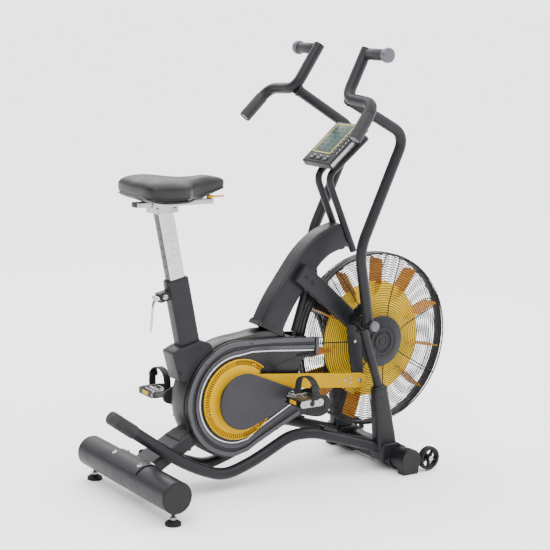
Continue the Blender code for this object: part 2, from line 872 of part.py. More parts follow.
# ---- swinging arms, rockers and connecting rods ----
arm_y = 0.1518
arm_r = 0.0176
bar_r = 0.0186
grip_r = 0.0204
shaft_in = 0.0520
for side, s in sides_of:
    lead = 0.0 if s < 0 else left_arm_lead
    spin = (
        Matrix.Translation((pivot_x, 0, pivot_z))
        @ Matrix.Rotation(lead, 4, "Y")
        @ Matrix.Translation((-pivot_x, 0, -pivot_z))
    )
    foot_of_arm = Vector((pivot_x, s * arm_y, pivot_z))
    knee = Vector((0.7350, s * 0.1508, 0.7560))
    elbow = Vector((0.8860, s * 0.1700, 1.1250))
    fork = Vector((0.6380, s * 0.1830, 1.2470))
    arm_end = fork - (fork - elbow).normalized() * 0.012
    arm = tube("handle_arm_" + side, [foot_of_arm, knee, elbow, arm_end], arm_r, 0.055)
    peg = rod(
        "foot_peg_" + side,
        (pivot_x, s * (barrel_out + 0.0012), pivot_z),
        (pivot_x, s * 0.1900, pivot_z),
        0.0170,
        20,
        cutters,
    )
    shaft = rod(
        "arm_shaft_" + side,
        (pivot_x, s * shaft_in, pivot_z),
        (pivot_x, s * 0.16, pivot_z),
        0.0110,
        24,
        cutters,
    )
    sleeve = rod(
        "arm_sleeve_" + side,
        (pivot_x, s * 0.0707, pivot_z),
        (pivot_x, s * 0.1035, pivot_z),
        0.0170,
        20,
        cutters,
    )
    web = [(0.1420, 0.0255), (0.1450, 0.0900), (0.1380, 0.0880), (0.0740, 0.0360), (0.0740, 0.0100)]
    web += [(0.1015, 0.0100), (0.1015, 0.0255)]
    bm = bmesh.new()
    near = add_ring(bm, [(pivot_x - 0.004, s * y, pivot_z + z) for y, z in web])
    far = add_ring(bm, [(pivot_x + 0.004, s * y, pivot_z + z) for y, z in web])
    for i in range(len(web)):
        j = (i + 1) % len(web)
        bm.faces.new((near[i], near[j], far[j], far[i]))
    bm.faces.new(near)
    bm.faces.new(reversed(far))
    gusset = solid("arm_web_" + side, bm, cutters)
    joined(arm, peg, shaft, sleeve, gusset)

    top = Vector((0.7152, s * 0.1770, 1.3964))
    outer = Vector((0.6350, s * 0.3286, 1.2380))
    end = Vector((0.5560, s * 0.3426, 1.1370))
    bar = tube("handlebar_" + side, [top, fork, outer, end], bar_r, 0.042)
    peg_at = Vector((0.7105, s * 0.1770, 1.3830))
    outward = Vector((0, s, 0))
    horn = rod("horn_" + side, peg_at, peg_at + outward * 0.108, 0.0175, 16, cutters)
    knob_from, knob_to = peg_at + outward * 0.104, peg_at + outward * 0.122
    knob = rod("horn_end_" + side, knob_from, knob_to, 0.0235, 20, cutters)
    joined(bar, horn, knob)
    arm_clear = tube(
        "bar_space_" + side, [top, fork, outer, end], bar_r + fit_gap, 0.042, 12, cutters
    )
    cut(arm, arm_clear)
    grip_dir = (end - outer).normalized()
    across = Vector((0, 1, 0))
    lift = grip_dir.cross(across).normalized()
    grip_rings = []
    for d, r in ((0.040, grip_r), (0.132, grip_r), (0.134, grip_r - 0.0012)):
        centre = outer + grip_dir * d
        turns = [2 * pi * k / 14 for k in range(14)]
        grip_rings.append([centre + (across * cos(t) + lift * sin(t)) * r for t in turns])
    grip_in = loft("bar_grip_" + side, grip_rings)
    grip_space = tube(
        "grip_space_" + side,
        [top, fork, outer, outer + grip_dir * 0.1300],
        bar_r + fit_gap,
        0.042,
        12,
        cutters,
    )
    cut(grip_in, grip_space)
    smooth(grip_in)

    low_x = pivot_x + rocker_length * sin(rocker_lean)
    low_pin = Vector((low_x, 0, pivot_z - rocker_length * cos(rocker_lean)))
    along = (low_pin - Vector((pivot_x, 0, pivot_z))).normalized()
    lean = atan2(along.z, along.x)
    heading = lean * 180 / pi
    plate_outline = arc((pivot_x, pivot_z), 0.0270, heading + 90, heading + 270, 12)
    plate_outline += arc((low_pin.x, low_pin.z), 0.0230, heading - 90, heading + 90, 12)
    rocker = prism("rocker_" + side, plate_outline, s * 0.0641, s * 0.0701)
    cut(
        rocker,
        rod(
            "rocker_bore_" + side,
            (pivot_x, s * 0.05, pivot_z),
            (pivot_x, s * 0.09, pivot_z),
            0.0113,
            24,
            cutters,
        ),
    )
    bore = cutters.objects["rocker_bore_" + side]
    turned_pieces = [arm, bar, grip_in, rocker, peg, shaft, sleeve]
    turned_pieces += [gusset, horn, knob, arm_clear, grip_space, bore]
    for piece in turned_pieces:
        piece.data.transform(spin)
    paint(arm, "painted")
    paint(bar, "painted")
    paint(grip_in, "rubber")
    paint(rocker, "painted")

    pin = spin @ low_pin
    rear = Vector((crank_x, 0, crank_z - s * rod_pin_throw))
    line = (rear - pin).normalized()
    heading = atan2(line.z, line.x) * 180 / pi
    rod_outline = arc((pin.x, pin.z), 0.0245, heading + 90, heading + 270, 12)
    rod_outline += arc((rear.x, rear.z), 0.0235, heading - 90, heading + 90, 12)
    link = prism("link_rod_" + side, rod_outline, s * 0.0716, s * 0.0795)
    eye = rod(
        "rod_eye_" + side, (rear.x, s * 0.06, rear.z), (rear.x, s * 0.09, rear.z), 0.0100, 20, cutters
    )
    paint(cut(link, eye), "yellow")

# ---- console ----
turn = Matrix.Translation(console_mid) @ Matrix(
    ((face_along.x, 0, face_up.x), (0, 1, 0), (face_along.z, 0, face_up.z))
).to_4x4()
console = block("console", (-0.093, -0.076, -0.014), (0.093, 0.076, 0.014), parts, 0.004)
console.data.transform(turn)
boss_half = Vector((0, 0.0100, 0))
boss = rod("console_boss", console_hinge - boss_half, console_hinge + boss_half, 0.0085, 18, cutters)
ear = block("console_ear", (0.080, -0.0100, -0.026), (0.0945, 0.0100, -0.012), cutters)
ear.data.transform(turn)
key_spaces = []
for i, name in enumerate(("right", "middle", "left")):
    y = (i - 1) * 0.036
    well = block("key_well_" + name, (-0.082, y - 0.0123, 0.0095), (-0.066, y + 0.0123, 0.03), cutters)
    well.data.transform(turn)
    key_spaces.append(well)
    key = block(
        "console_key_" + name,
        (-0.0815, y - 0.0118, 0.0110),
        (-0.0665, y + 0.0118, 0.0162),
        parts,
        0.001,
    )
    key.data.transform(turn)
    paint(key, "plastic")
joined(console, boss, ear)
cut(console, *key_spaces)
paint(console, "plastic")

# ---- move to the stand's centre and give each moving piece its own axis ----
for obj in list(parts.objects) + list(cutters.objects):
    obj.data.transform(Matrix.Translation((station_shift, 0, 0)))

seat_origin = seat_tube_top
axes = {
    "crank_shaft": (crank_x, 0, crank_z),
    "crank_cover_right": (crank_x, 0, crank_z),
    "crank_cover_left": (crank_x, 0, crank_z),
    "fan_wheel": (fan_x, 0, fan_z),
    "console": console_hinge,
    "clamp_lever": lever_at,
    "slide_lever": hinge,
    "seat_post": seat_origin,
}
for side, s in sides_of:
    axes["wheel_" + side] = (wheel_x, s * 0.21, wheel_z)
    for piece in ("pedal_", "pedal_strap_"):
        axes[piece + side] = (crank_x - s * crank_length, s * 0.163, crank_z)
    for piece in ("handle_arm_", "handlebar_", "bar_grip_", "rocker_"):
        axes[piece + side] = (pivot_x, s * arm_y, pivot_z)
    lead = 0.0 if s < 0 else left_arm_lead
    swing = rocker_lean - lead
    axes["link_rod_" + side] = (
        pivot_x + rocker_length * sin(swing),
        s * 0.0755,
        pivot_z - rocker_length * cos(swing),
    )
for name, at in axes.items():
    at = Vector(at) + Vector((station_shift, 0, 0))
    piece = parts.objects[name]
    piece.data.transform(Matrix.Translation(-at))
    piece.location = at
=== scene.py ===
import bpy
import bmesh
from math import atan2, cos, pi, radians, sin, sqrt
from mathutils import Matrix, Quaternion, Vector


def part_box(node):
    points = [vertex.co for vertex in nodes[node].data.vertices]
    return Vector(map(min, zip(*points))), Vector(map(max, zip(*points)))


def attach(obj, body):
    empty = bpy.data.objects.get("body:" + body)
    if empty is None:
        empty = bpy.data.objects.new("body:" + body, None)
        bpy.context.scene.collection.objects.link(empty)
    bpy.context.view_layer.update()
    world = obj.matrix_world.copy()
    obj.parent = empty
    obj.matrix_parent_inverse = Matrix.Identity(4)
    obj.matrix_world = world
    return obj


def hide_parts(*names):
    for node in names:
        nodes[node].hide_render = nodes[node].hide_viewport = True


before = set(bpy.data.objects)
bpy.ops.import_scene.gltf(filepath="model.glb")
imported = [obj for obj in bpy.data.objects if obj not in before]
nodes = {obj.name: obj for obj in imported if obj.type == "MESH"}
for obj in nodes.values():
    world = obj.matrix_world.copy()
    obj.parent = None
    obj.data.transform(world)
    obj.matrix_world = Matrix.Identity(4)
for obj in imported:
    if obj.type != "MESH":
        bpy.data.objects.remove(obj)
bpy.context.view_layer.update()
print("frame loaded:", len(nodes), "nodes")


def nodeMiddle(node):
    low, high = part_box(node)
    return (low + high) / 2


# lengths along x below are counted from the rear tube's axis
rearX = nodeMiddle("rear_stabiliser").x
sidesOf = (("right", -1), ("left", 1))
origin = Vector((0, 0, 0))


def at(x, y, z):
    return Vector((x + rearX, y, z))

# camera, light and floor
cameraSetup = {
    "turn": -34.11, "rise": 10.13, "roll": 1.5, "lens": 98.15, "distance": 4.8104,
    "lookAt": (-0.0344, 0.0, 0.678), "shift": (0.0042, -0.0032),
}


def makeCamera(setup):
    turn, rise = radians(setup["turn"]), radians(setup["rise"])
    back = Vector((sin(turn) * cos(rise), -cos(turn) * cos(rise), sin(rise)))
    data = bpy.data.cameras.new("camera")
    data.lens = setup["lens"]
    data.sensor_width = 36
    data.shift_x, data.shift_y = setup["shift"]
    data.clip_start, data.clip_end = 0.1, 3000
    cam = bpy.data.objects.new("camera", data)
    bpy.context.scene.collection.objects.link(cam)
    cam.location = Vector(setup["lookAt"]) + back * setup["distance"]
    cam.rotation_mode = "QUATERNION"
    spin = Quaternion((0, 0, 1), radians(setup["roll"]))
    cam.rotation_quaternion = back.to_track_quat("Z", "Y") @ spin
    bpy.context.scene.camera = cam


def addNode(tree, kind, values=()):
    node = tree.nodes.new("ShaderNode" + kind)
    for socket, value in dict(values).items():
        node.inputs[socket].default_value = value
    return node


def areaLight(name, place, aim, size, power, color=(1, 1, 1)):
    data = bpy.data.lights.new(name, "AREA")
    data.shape = "RECTANGLE"
    data.size, data.size_y = size
    data.energy = power
    data.color = color
    lamp = bpy.data.objects.new(name, data)
    bpy.context.scene.collection.objects.link(lamp)
    lamp.location = place
    lamp.rotation_euler = (Vector(place) - Vector(aim)).to_track_quat("Z", "Y").to_euler()


stageLight = {"sky": 4.2, "bands": (0.74, 0.1, 0.34, 1.0), "card": 0.12, "key": 60, "side": 40, "back": 40}


def makeStage():
    world = bpy.data.worlds.new("studio")
    bpy.context.scene.world = world
    world.use_nodes = True
    sky = world.node_tree.nodes["Background"]
    sky.inputs["Strength"].default_value = stageLight["sky"]
    # bright ceiling and horizon with a dimmer band of wall between them, and a dark card behind the seat
    tree = world.node_tree
    heading = addNode(tree, "TexCoord")
    split = addNode(tree, "SeparateXYZ")
    shade = addNode(tree, "ValToRGB")
    stops = shade.color_ramp.elements
    stops[0].position, stops[1].position = 0.018, 0.72
    stops.new(0.075)
    stops.new(0.34)
    for stop, grey in zip(stops, stageLight["bands"]):
        stop.color = (grey, grey, grey, 1)
    card = addNode(tree, "MapRange", {"From Min": -0.95, "From Max": -0.45, "To Min": stageLight["card"],
                                      "To Max": 1.0})
    card.interpolation_type = "SMOOTHSTEP"
    both = addNode(tree, "Mix", {"Factor": 1.0})
    both.data_type = "RGBA"
    both.blend_type = "MULTIPLY"
    links = tree.links
    links.new(heading.outputs["Generated"], split.inputs["Vector"])
    links.new(split.outputs["Z"], shade.inputs["Fac"])
    links.new(split.outputs["X"], card.inputs["Value"])
    links.new(shade.outputs["Color"], both.inputs["A"])
    links.new(card.outputs["Result"], both.inputs["B"])
    links.new(both.outputs["Result"], sky.inputs["Color"])
    areaLight("keyLight", (-2.6, -2.4, 3.6), (0, 0, 0.7), (1.6, 2.2), stageLight["key"])
    areaLight("sideLight", (3.4, -2.2, 2.4), (0, 0, 0.7), (0.9, 2.6), stageLight["side"])
    areaLight("backLight", (1.2, 3.6, 3.2), (0, 0, 0.8), (2.6, 1.2), stageLight["back"])
    floorMesh = bpy.data.meshes.new("floor")
    side, depth = 900, -0.0005
    corners = [(-side, -side, depth), (side, -side, depth), (side, side, depth), (-side, side, depth)]
    floorMesh.from_pydata(corners, [], [(0, 1, 2, 3)])
    floor = bpy.data.objects.new("floor", floorMesh)
    bpy.context.scene.collection.objects.link(floor)
    paper = bpy.data.materials.new("paleFloor")
    paper.use_nodes = True
    shader = paper.node_tree.nodes["Principled BSDF"]
    shader.inputs["Base Color"].default_value = (0.95, 0.95, 0.95, 1)
    shader.inputs["Roughness"].default_value = 1.0
    shader.inputs["Specular IOR Level"].default_value = 0.0
    floor.data.materials.append(paper)


makeCamera(cameraSetup)
makeStage()

finishes = {
    # slot: the record's paint, tones: two colours that drift into each other, rough: glossiest and dullest,
    # grain: bumps in 1/m, bump and deep: their strength and height, spec: how much light the skin throws back
    "charcoalPaint": {"slot": "frame_paint", "tones": ((0.006, 0.006, 0.0082), (0.0085, 0.0085, 0.0114)),
                      "rough": (0.36, 0.46), "grain": 1100, "bump": 0.1, "spec": 0.25},
    "cagePaint": {"slot": "frame_paint", "tones": ((0.005, 0.005, 0.0058), (0.008, 0.008, 0.009)),
                  "rough": (0.42, 0.55), "grain": 900, "bump": 0.1, "spec": 0.26},
    "blackPlastic": {"slot": "black_plastic", "tones": ((0.0035, 0.0035, 0.0042), (0.006, 0.006, 0.007)),
                     "rough": (0.4, 0.54), "grain": 1500, "bump": 0.22, "pattern": "cells", "spec": 0.28},
    "housingPlastic": {"slot": "black_plastic",
                       "tones": ((0.0055, 0.0055, 0.0068), (0.0085, 0.0085, 0.01)),
                       "rough": (0.24, 0.32), "grain": 1300, "bump": 0.1, "pattern": "cells", "spec": 0.24},
    "bandPlastic": {"slot": "grey_cover", "tones": ((0.022, 0.022, 0.028), (0.029, 0.029, 0.036)),
                    "rough": (0.3, 0.4), "grain": 1400, "bump": 0.08, "spec": 0.5},
    "spinePlastic": {"slot": "black_plastic",
                     "tones": ((0.0075, 0.0066, 0.006), (0.0115, 0.0102, 0.0095)),
                     "rough": (0.32, 0.45), "grain": 1300, "bump": 0.18, "pattern": "cells", "spec": 0.4},
    "trimGloss": {"slot": "chrome", "tones": ((0.42, 0.42, 0.44), (0.52, 0.52, 0.54)), "metal": 0.9,
                  "rough": (0.16, 0.24), "grain": 800, "bump": 0.02, "deep": 0.0001},
    "coverPlastic": {"slot": "grey_cover", "tones": ((0.0215, 0.0205, 0.0245), (0.027, 0.0258, 0.03)),
                     "rough": (0.44, 0.54), "grain": 1600, "bump": 0.2, "pattern": "cells", "spec": 0.25},
    "amberPlastic": {"slot": "amber", "tones": ((0.54, 0.3, 0.0002), (0.6, 0.34, 0.0004)),
                     "rough": (0.34, 0.44), "grain": 1200, "bump": 0.08, "spec": 0.06},
    "amberPaint": {"slot": "amber_paint", "tones": ((0.38, 0.212, 0.0001), (0.43, 0.245, 0.0002)),
                   "rough": (0.32, 0.42), "grain": 1000, "bump": 0.08, "spec": 0.04},
    # painted light: the disc's amber is set brighter than the ring's to make up for the shadow of the cage
    # wires on the disc and paddle feet
    "discPaintBrightened": {"slot": "amber_paint", "tones": ((0.86, 0.54, 0.002), (0.92, 0.6, 0.004)),
                  "rough": (0.4, 0.5), "grain": 1000, "bump": 0.08, "spec": 0.15},
    "paddlePaint": {"slot": "amber_paint", "tones": ((0.5, 0.185, 0.0005), (0.6, 0.23, 0.001)),
                    "rough": (0.38, 0.5), "grain": 1000, "bump": 0.08, "spec": 0.15},
    "chrome": {"slot": "chrome", "tones": ((0.4, 0.4, 0.42), (0.5, 0.5, 0.515)), "metal": 1.0,
               "rough": (0.07, 0.13), "grain": 300, "bump": 0.012, "deep": 0.0001},
    # darker steel for the seat post's rear face: painted shade and dark reflection
    "postRearShadeSteel": {"slot": "steel", "tones": ((0.022, 0.022, 0.026), (0.036, 0.036, 0.04)), "metal": 0.5,
                  "rough": (0.24, 0.34), "grain": 900, "bump": 0.05, "deep": 0.0001,
                  "pattern": "brushed"},
    # darker amber for the ring's bowl between the ribs: painted shade in the recess, so the ribs read
    "amberPaintedShade": {"slot": "amber", "tones": ((0.2, 0.098, 0.0005), (0.24, 0.12, 0.001)),
                   "rough": (0.4, 0.5), "grain": 1200, "bump": 0.08, "spec": 0.08},
    "steel": {"slot": "steel", "tones": ((0.26, 0.26, 0.28), (0.34, 0.34, 0.355)), "metal": 1.0,
              "rough": (0.22, 0.32), "grain": 900, "bump": 0.05, "deep": 0.0001, "pattern": "brushed"},
    "satinAlloy": {"slot": "alloy", "tones": ((0.3, 0.3, 0.32), (0.39, 0.39, 0.405)), "metal": 1.0,
                   "rough": (0.24, 0.34), "grain": 1200, "bump": 0.08, "deep": 0.0001},
    "endCapGrey": {"slot": "grey_cover", "tones": ((0.06, 0.06, 0.076), (0.084, 0.084, 0.102)),
                   "rough": (0.3, 0.4), "grain": 900, "bump": 0.05, "deep": 0.0001, "spec": 0.5},
    "foamRubber": {"slot": "rubber", "tones": ((0.009, 0.009, 0.0112), (0.013, 0.013, 0.0155)),
                   "rough": (0.5, 0.62), "grain": 1500, "bump": 0.4, "deep": 0.0003, "pattern": "cells",
                   "spec": 0.38},
    "footRubber": {"slot": "rubber", "tones": ((0.004, 0.004, 0.0044), (0.007, 0.007, 0.0075)),
                   "rough": (0.55, 0.7), "grain": 900, "bump": 0.3, "deep": 0.0003, "pattern": "cells",
                   "spec": 0.25},
    "saddleSkin": {"slot": "saddle_skin", "tones": ((0.0058, 0.0058, 0.007), (0.0092, 0.0092, 0.0108)),
                   "rough": (0.34, 0.46), "grain": 520, "bump": 0.5, "deep": 0.0005, "pattern": "leather",
                   "spec": 0.3},
    "webbing": {"slot": "black_plastic", "tones": ((0.0042, 0.0042, 0.0048), (0.008, 0.008, 0.0088)),
                "rough": (0.5, 0.65), "grain": 700, "bump": 0.5, "deep": 0.0003, "pattern": "weave",
                "spec": 0.25},
    "screenGlass": {"slot": "grey_cover", "tones": ((0.034, 0.062, 0.054), (0.044, 0.078, 0.068)),
                    "rough": (0.34, 0.42), "grain": 400, "bump": 0.01, "deep": 0.0001, "spec": 0.2},
    "segmentInk": {"slot": "black_plastic", "tones": ((0.009, 0.0165, 0.015), (0.013, 0.022, 0.02)),
                   "rough": (0.4, 0.5), "grain": 400, "bump": 0.01, "deep": 0.0001, "spec": 0.1},
    "printWhite": {"slot": "alloy", "tones": ((0.5, 0.5, 0.5), (0.6, 0.6, 0.6)), "rough": (0.4, 0.5),
                   "grain": 600, "bump": 0.03, "deep": 0.0001, "spec": 0.2},
    "borderYellow": {"slot": "amber", "tones": ((0.86, 0.72, 0.18), (0.92, 0.78, 0.22)),
                     "rough": (0.35, 0.45), "grain": 600, "bump": 0.03, "deep": 0.0001, "spec": 0.2},
}
made = {}


def finish(name):
    if name in made:
        return made[name]
    look = finishes[name]
    material = bpy.data.materials.new(name)
    material.use_nodes = True
    tree = material.node_tree
    shader = tree.nodes["Principled BSDF"]
    shader.inputs["Metallic"].default_value = look.get("metal", 0.0)
    shader.inputs["Specular IOR Level"].default_value = look.get("spec", 0.5)
    links = tree.links
    place = addNode(tree, "TexCoord")

    # slow colour drift over the surface
    drift = addNode(tree, "TexNoise", {"Scale": 9.0, "Detail": 5.0, "Roughness": 0.62})
    links.new(place.outputs["Object"], drift.inputs["Vector"])
    tones = addNode(tree, "ValToRGB")
    for stop, position, colour in zip(tones.color_ramp.elements, (0.36, 0.66), look["tones"]):
        stop.position = position
        stop.color = (*colour, 1)
    links.new(drift.outputs["Fac"], tones.inputs["Fac"])
    links.new(tones.outputs["Color"], shader.inputs["Base Color"])

    # handling marks: patches that are a little glossier
    rub = addNode(tree, "TexNoise", {"Scale": 26.0, "Detail": 8.0})
    links.new(place.outputs["Object"], rub.inputs["Vector"])
    glossy, dull = look["rough"]
    gloss = addNode(tree, "MapRange", {"From Min": 0.3, "From Max": 0.7, "To Min": glossy, "To Max": dull})
    links.new(rub.outputs["Fac"], gloss.inputs["Value"])
    links.new(gloss.outputs["Result"], shader.inputs["Roughness"])

    pattern = look.get("pattern", "peel")
    size = {"Scale": look["grain"]}
    if pattern in ("cells", "leather"):
        grain = addNode(tree, "TexVoronoi", size)
        grain.feature = "DISTANCE_TO_EDGE" if pattern == "leather" else "F1"
        height = grain.outputs["Distance"]
    elif pattern == "weave":
        grain = addNode(tree, "TexChecker", size)
        height = grain.outputs["Fac"]
    else:
        grain = addNode(tree, "TexNoise", {"Detail": 3.0, **size})
        height = grain.outputs["Fac"]
    stretch = addNode(tree, "Mapping")
    if pattern == "brushed":
        stretch.inputs["Scale"].default_value = (1.0, 0.04, 1.0)
    links.new(place.outputs["Object"], stretch.inputs["Vector"])
    links.new(stretch.outputs["Vector"], grain.inputs["Vector"])
    bump = addNode(tree, "Bump", {"Strength": look["bump"], "Distance": look.get("deep", 0.0002)})
    links.new(height, bump.inputs["Height"])
    links.new(bump.outputs["Normal"], shader.inputs["Normal"])
    made[name] = material
    return material


# mesh helpers
def toObject(name, bm, sharp=40):
    bmesh.ops.remove_doubles(bm, verts=bm.verts, dist=1e-6)
    bmesh.ops.recalc_face_normals(bm, faces=bm.faces)
    mesh = bpy.data.meshes.new(name)
    bm.to_mesh(mesh)
    bm.free()
    mesh.shade_smooth()
    mesh.set_sharp_from_angle(angle=radians(sharp))
    obj = bpy.data.objects.new(name, mesh)
    bpy.context.scene.collection.objects.link(obj)
    return obj


def soften(obj, width, segments=3, angle=35):
    edge = obj.modifiers.new("soften", "BEVEL")
    edge.width = width
    edge.segments = segments
    edge.limit_method = "ANGLE"
    edge.angle_limit = radians(angle)
    edge.use_clamp_overlap = True
    edge.harden_normals = True
    obj.data.shade_smooth()
    return obj


def bake(obj):
    graph = bpy.context.evaluated_depsgraph_get()
    mesh = bpy.data.meshes.new_from_object(obj.evaluated_get(graph))
    old = obj.data
    obj.modifiers.clear()
    obj.data = mesh
    bpy.data.meshes.remove(old)
    return obj


def carve(obj, *cutters):
    for cutter in cutters:
        saw = obj.modifiers.new("carve", "BOOLEAN")
        saw.operation = "DIFFERENCE"
        saw.solver = "EXACT"
        saw.object = cutter
    bpy.context.view_layer.update()
    bake(obj)
    for cutter in cutters:
        bpy.data.objects.remove(cutter)
    obj.data.shade_smooth()
    obj.data.set_sharp_from_angle(angle=radians(35))
    return obj


def show(obj, body, look, *standsFor):
    obj.data.materials.clear()
    obj.data.materials.append(finish(look))
    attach(obj, body)
    if standsFor:
        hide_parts(*standsFor)
    return obj


def merged(name, pieces):
    graph = bpy.context.evaluated_depsgraph_get()
    bm = bmesh.new()
    for piece in pieces:
        mesh = bpy.data.meshes.new_from_object(piece.evaluated_get(graph))
        mesh.transform(piece.matrix_world)
        bm.from_mesh(mesh)
        bpy.data.meshes.remove(mesh)
        bpy.data.objects.remove(piece)
    mesh = bpy.data.meshes.new(name)
    bm.to_mesh(mesh)
    bm.free()
    obj = bpy.data.objects.new(name, mesh)
    bpy.context.scene.collection.objects.link(obj)
    return obj


def bendPath(corners, bend, steps=14):
    points = [Vector(c) for c in corners]
    path = [points[0]]
    for before, here, after in zip(points, points[1:], points[2:]):
        a, b = before - here, after - here
        reach = min(bend, a.length * 0.48, b.length * 0.48)
        start, end = here + a.normalized() * reach, here + b.normalized() * reach
        for i in range(steps + 1):
            t = i / steps
            path.append(start * (1 - t) ** 2 + here * (2 * t * (1 - t)) + end * t * t)
    path.append(points[-1])
    return path


def sweep(path, radius, resolution, closed=False):
    curve = bpy.data.curves.new("guide", "CURVE")
    curve.dimensions = "3D"
    curve.bevel_depth = radius
    curve.bevel_resolution = resolution
    curve.use_fill_caps = not closed
    spline = curve.splines.new("POLY")
    spline.points.add(len(path) - 1)
    for point, co in zip(spline.points, path):
        point.co = (*co, 1)
    spline.use_cyclic_u = closed
    guide = bpy.data.objects.new("guide", curve)
    mesh = bpy.data.meshes.new_from_object(guide)
    bpy.data.objects.remove(guide)
    return mesh


def tube(name, corners, radius, bend=0.06, resolution=10, steps=14):
    mesh = sweep(bendPath(corners, bend, steps), radius, resolution)
    bm = bmesh.new()
    bm.from_mesh(mesh)
    bpy.data.meshes.remove(mesh)
    return toObject(name, bm, 50)


def turns(count):
    return [2 * pi * i / count for i in range(count)]


def bridge(bm, rows, loop=False, ring=True, caps=False):
    count = len(rows[0])
    for i in range(len(rows) if loop else len(rows) - 1):
        here, there = rows[i], rows[(i + 1) % len(rows)]
        for k in range(count if ring else count - 1):
            m = (k + 1) % count
            bm.faces.new((here[k], here[m], there[m], there[k]))
    if caps:
        bm.faces.new(rows[0])
        bm.faces.new(reversed(rows[-1]))


def aimed(place, way, axis="Z", up="Y"):
    return Matrix.Translation(place) @ way.to_track_quat(axis, up).to_matrix().to_4x4()


def sideStep(y):
    return Vector((0, y, 0))


def ringWire(bm, centre, radius, y, thick, segments=96, sides=6):
    rows = []
    for a in turns(segments):
        row = []
        for b in turns(sides):
            r = radius + thick * cos(b)
            row.append(bm.verts.new((centre.x + r * cos(a), y + thick * sin(b), centre.z + r * sin(a))))
        rows.append(row)
    bridge(bm, rows, loop=True)


def lathe(name, profile, centre, steps=72, sharp=30, side=1):
    bm = bmesh.new()
    rows = []
    for a in turns(steps):
        rows.append([bm.verts.new((centre.x + r * cos(a), side * y, centre.z + r * sin(a)))
                     for r, y in profile])
    bridge(bm, rows, loop=True, ring=profile[0][0] > 1e-6)  # open ends when the profile starts on the axis
    return toObject(name, bm, sharp)


def skin(name, rings, sharp=50):
    bm = bmesh.new()
    bridge(bm, [[bm.verts.new(p) for p in ring] for ring in rings], caps=True)
    return toObject(name, bm, sharp)


def sheetOf(name, outline, yFrom, yTo, sharp=30):
    return skin(name, [[(x + rearX, y, z) for x, z in outline] for y in (yFrom, yTo)], sharp)


def rod(name, start, end, radius, steps=40, endRadius=None, sharp=40):
    start, end = Vector(start), Vector(end)
    bm = bmesh.new()
    bmesh.ops.create_cone(bm, cap_ends=True, segments=steps, radius1=radius, radius2=radius
                          if endRadius is None else endRadius, depth=(end - start).length,
                          matrix=aimed((start + end) / 2, end - start))
    return toObject(name, bm, sharp)


def brick(name, low, high, edge=0.0, segments=3):
    bm = bmesh.new()
    bmesh.ops.create_cube(bm, size=1)
    corners = [(min(pair), max(pair)) for pair in zip(low, high)]
    for v in bm.verts:
        v.co = Vector([a + (b - a) * (c + 0.5) for (a, b), c in zip(corners, v.co)])
    if edge:
        bmesh.ops.bevel(bm, geom=bm.edges, offset=edge, segments=segments, profile=0.5, affect="EDGES")
    return toObject(name, bm, 30)


def boxRing(centre, up, across, depth, width, corner, turns=5):
    points = []
    for sx, sy, first in ((1, 1, 0), (-1, 1, 1), (-1, -1, 2), (1, -1, 3)):
        for i in range(turns + 1):
            angle = (first + i / turns) * pi / 2
            u = sx * (depth / 2 - corner) + corner * cos(angle)
            v = sy * (width / 2 - corner) + corner * sin(angle)
            points.append(Vector(centre) + up * u + across * v)
    return points


def boxBeam(name, corners, depths, widths, corner=0.008, bend=0.06, steps=14):
    path = bendPath(corners, bend, steps)
    across = Vector((0, 1, 0))
    run = [0]
    for a, b in zip(path, path[1:]):
        run.append(run[-1] + (b - a).length)
    rings = []
    for i, point in enumerate(path):
        ahead = path[min(i + 1, len(path) - 1)] - path[max(i - 1, 0)]
        ahead = Vector((ahead.x, 0, ahead.z))
        up = across.cross(ahead).normalized()
        share = run[i] / run[-1]
        depth = depths[0] + (depths[1] - depths[0]) * share
        width = widths[0] + (widths[1] - widths[0]) * share
        rings.append(boxRing(point, up, across, depth, width, corner))
    return skin(name, rings)


def boltHead(name, place, facing, radius=0.008, tall=0.005, style="dome"):
    facing = Vector(facing).normalized()
    bm = bmesh.new()
    if style == "dome":
        steps, rise = 24, 6
        rows = []
        for k in range(rise + 1):
            a = pi / 2 * k / rise
            rows.append((radius * cos(a), tall * sin(a)))
        inner = [(radius * 0.42, tall * 0.93), (radius * 0.42, tall * 0.35), (0, tall * 0.35)]
        profile = [(radius, -0.001)] + [p for p in rows if p[0] > radius * 0.42] + inner
    elif style == "hex":
        steps = 6
        profile = [(radius, -0.001), (radius, tall * 0.8), (radius * 0.88, tall), (0, tall)]
    else:
        steps = 28
        profile = [(radius, -0.001), (radius, tall * 0.85), (radius * 0.93, tall), (radius * 0.55, tall),
                   (radius * 0.5, tall * 0.4), (0, tall * 0.4)]
    grid = []
    for a in turns(steps):
        grid.append([bm.verts.new((r * cos(a), r * sin(a), h)) for r, h in profile])
    for i in range(steps):
        here, there = grid[i], grid[(i + 1) % steps]
        for k in range(len(profile) - 1):
            bm.faces.new((here[k], there[k], there[k + 1], here[k + 1]))
    bmesh.ops.contextual_create(bm, geom=[e for e in bm.edges if e.is_boundary])
    bmesh.ops.transform(bm, matrix=aimed(Vector(place), facing), verts=bm.verts)
    return toObject(name, bm, 32)


def arc(centre, radius, start, end, steps):
    out = []
    for i in range(steps + 1):
        a = radians(start + (end - start) * i / steps)
        out.append((centre[0] + radius * cos(a), centre[1] + radius * sin(a)))
    return out


def weldBead(name, centre, facing, radius, thick=0.0022, body="frame"):
    facing = Vector(facing).normalized()
    bm = bmesh.new()
    steps, sides = 72, 8
    rows = []
    for a in turns(steps):
        swell = thick * (1 + 0.16 * sin(a * 26))
        row = []
        for b in turns(sides):
            r = radius + swell * cos(b)
            row.append(bm.verts.new((r * cos(a), r * sin(a), swell * sin(b))))
        rows.append(row)
    bridge(bm, rows, loop=True)
    bmesh.ops.transform(bm, matrix=aimed(Vector(centre), facing), verts=bm.verts)
    return show(toObject(name, bm, 80), body, "charcoalPaint")

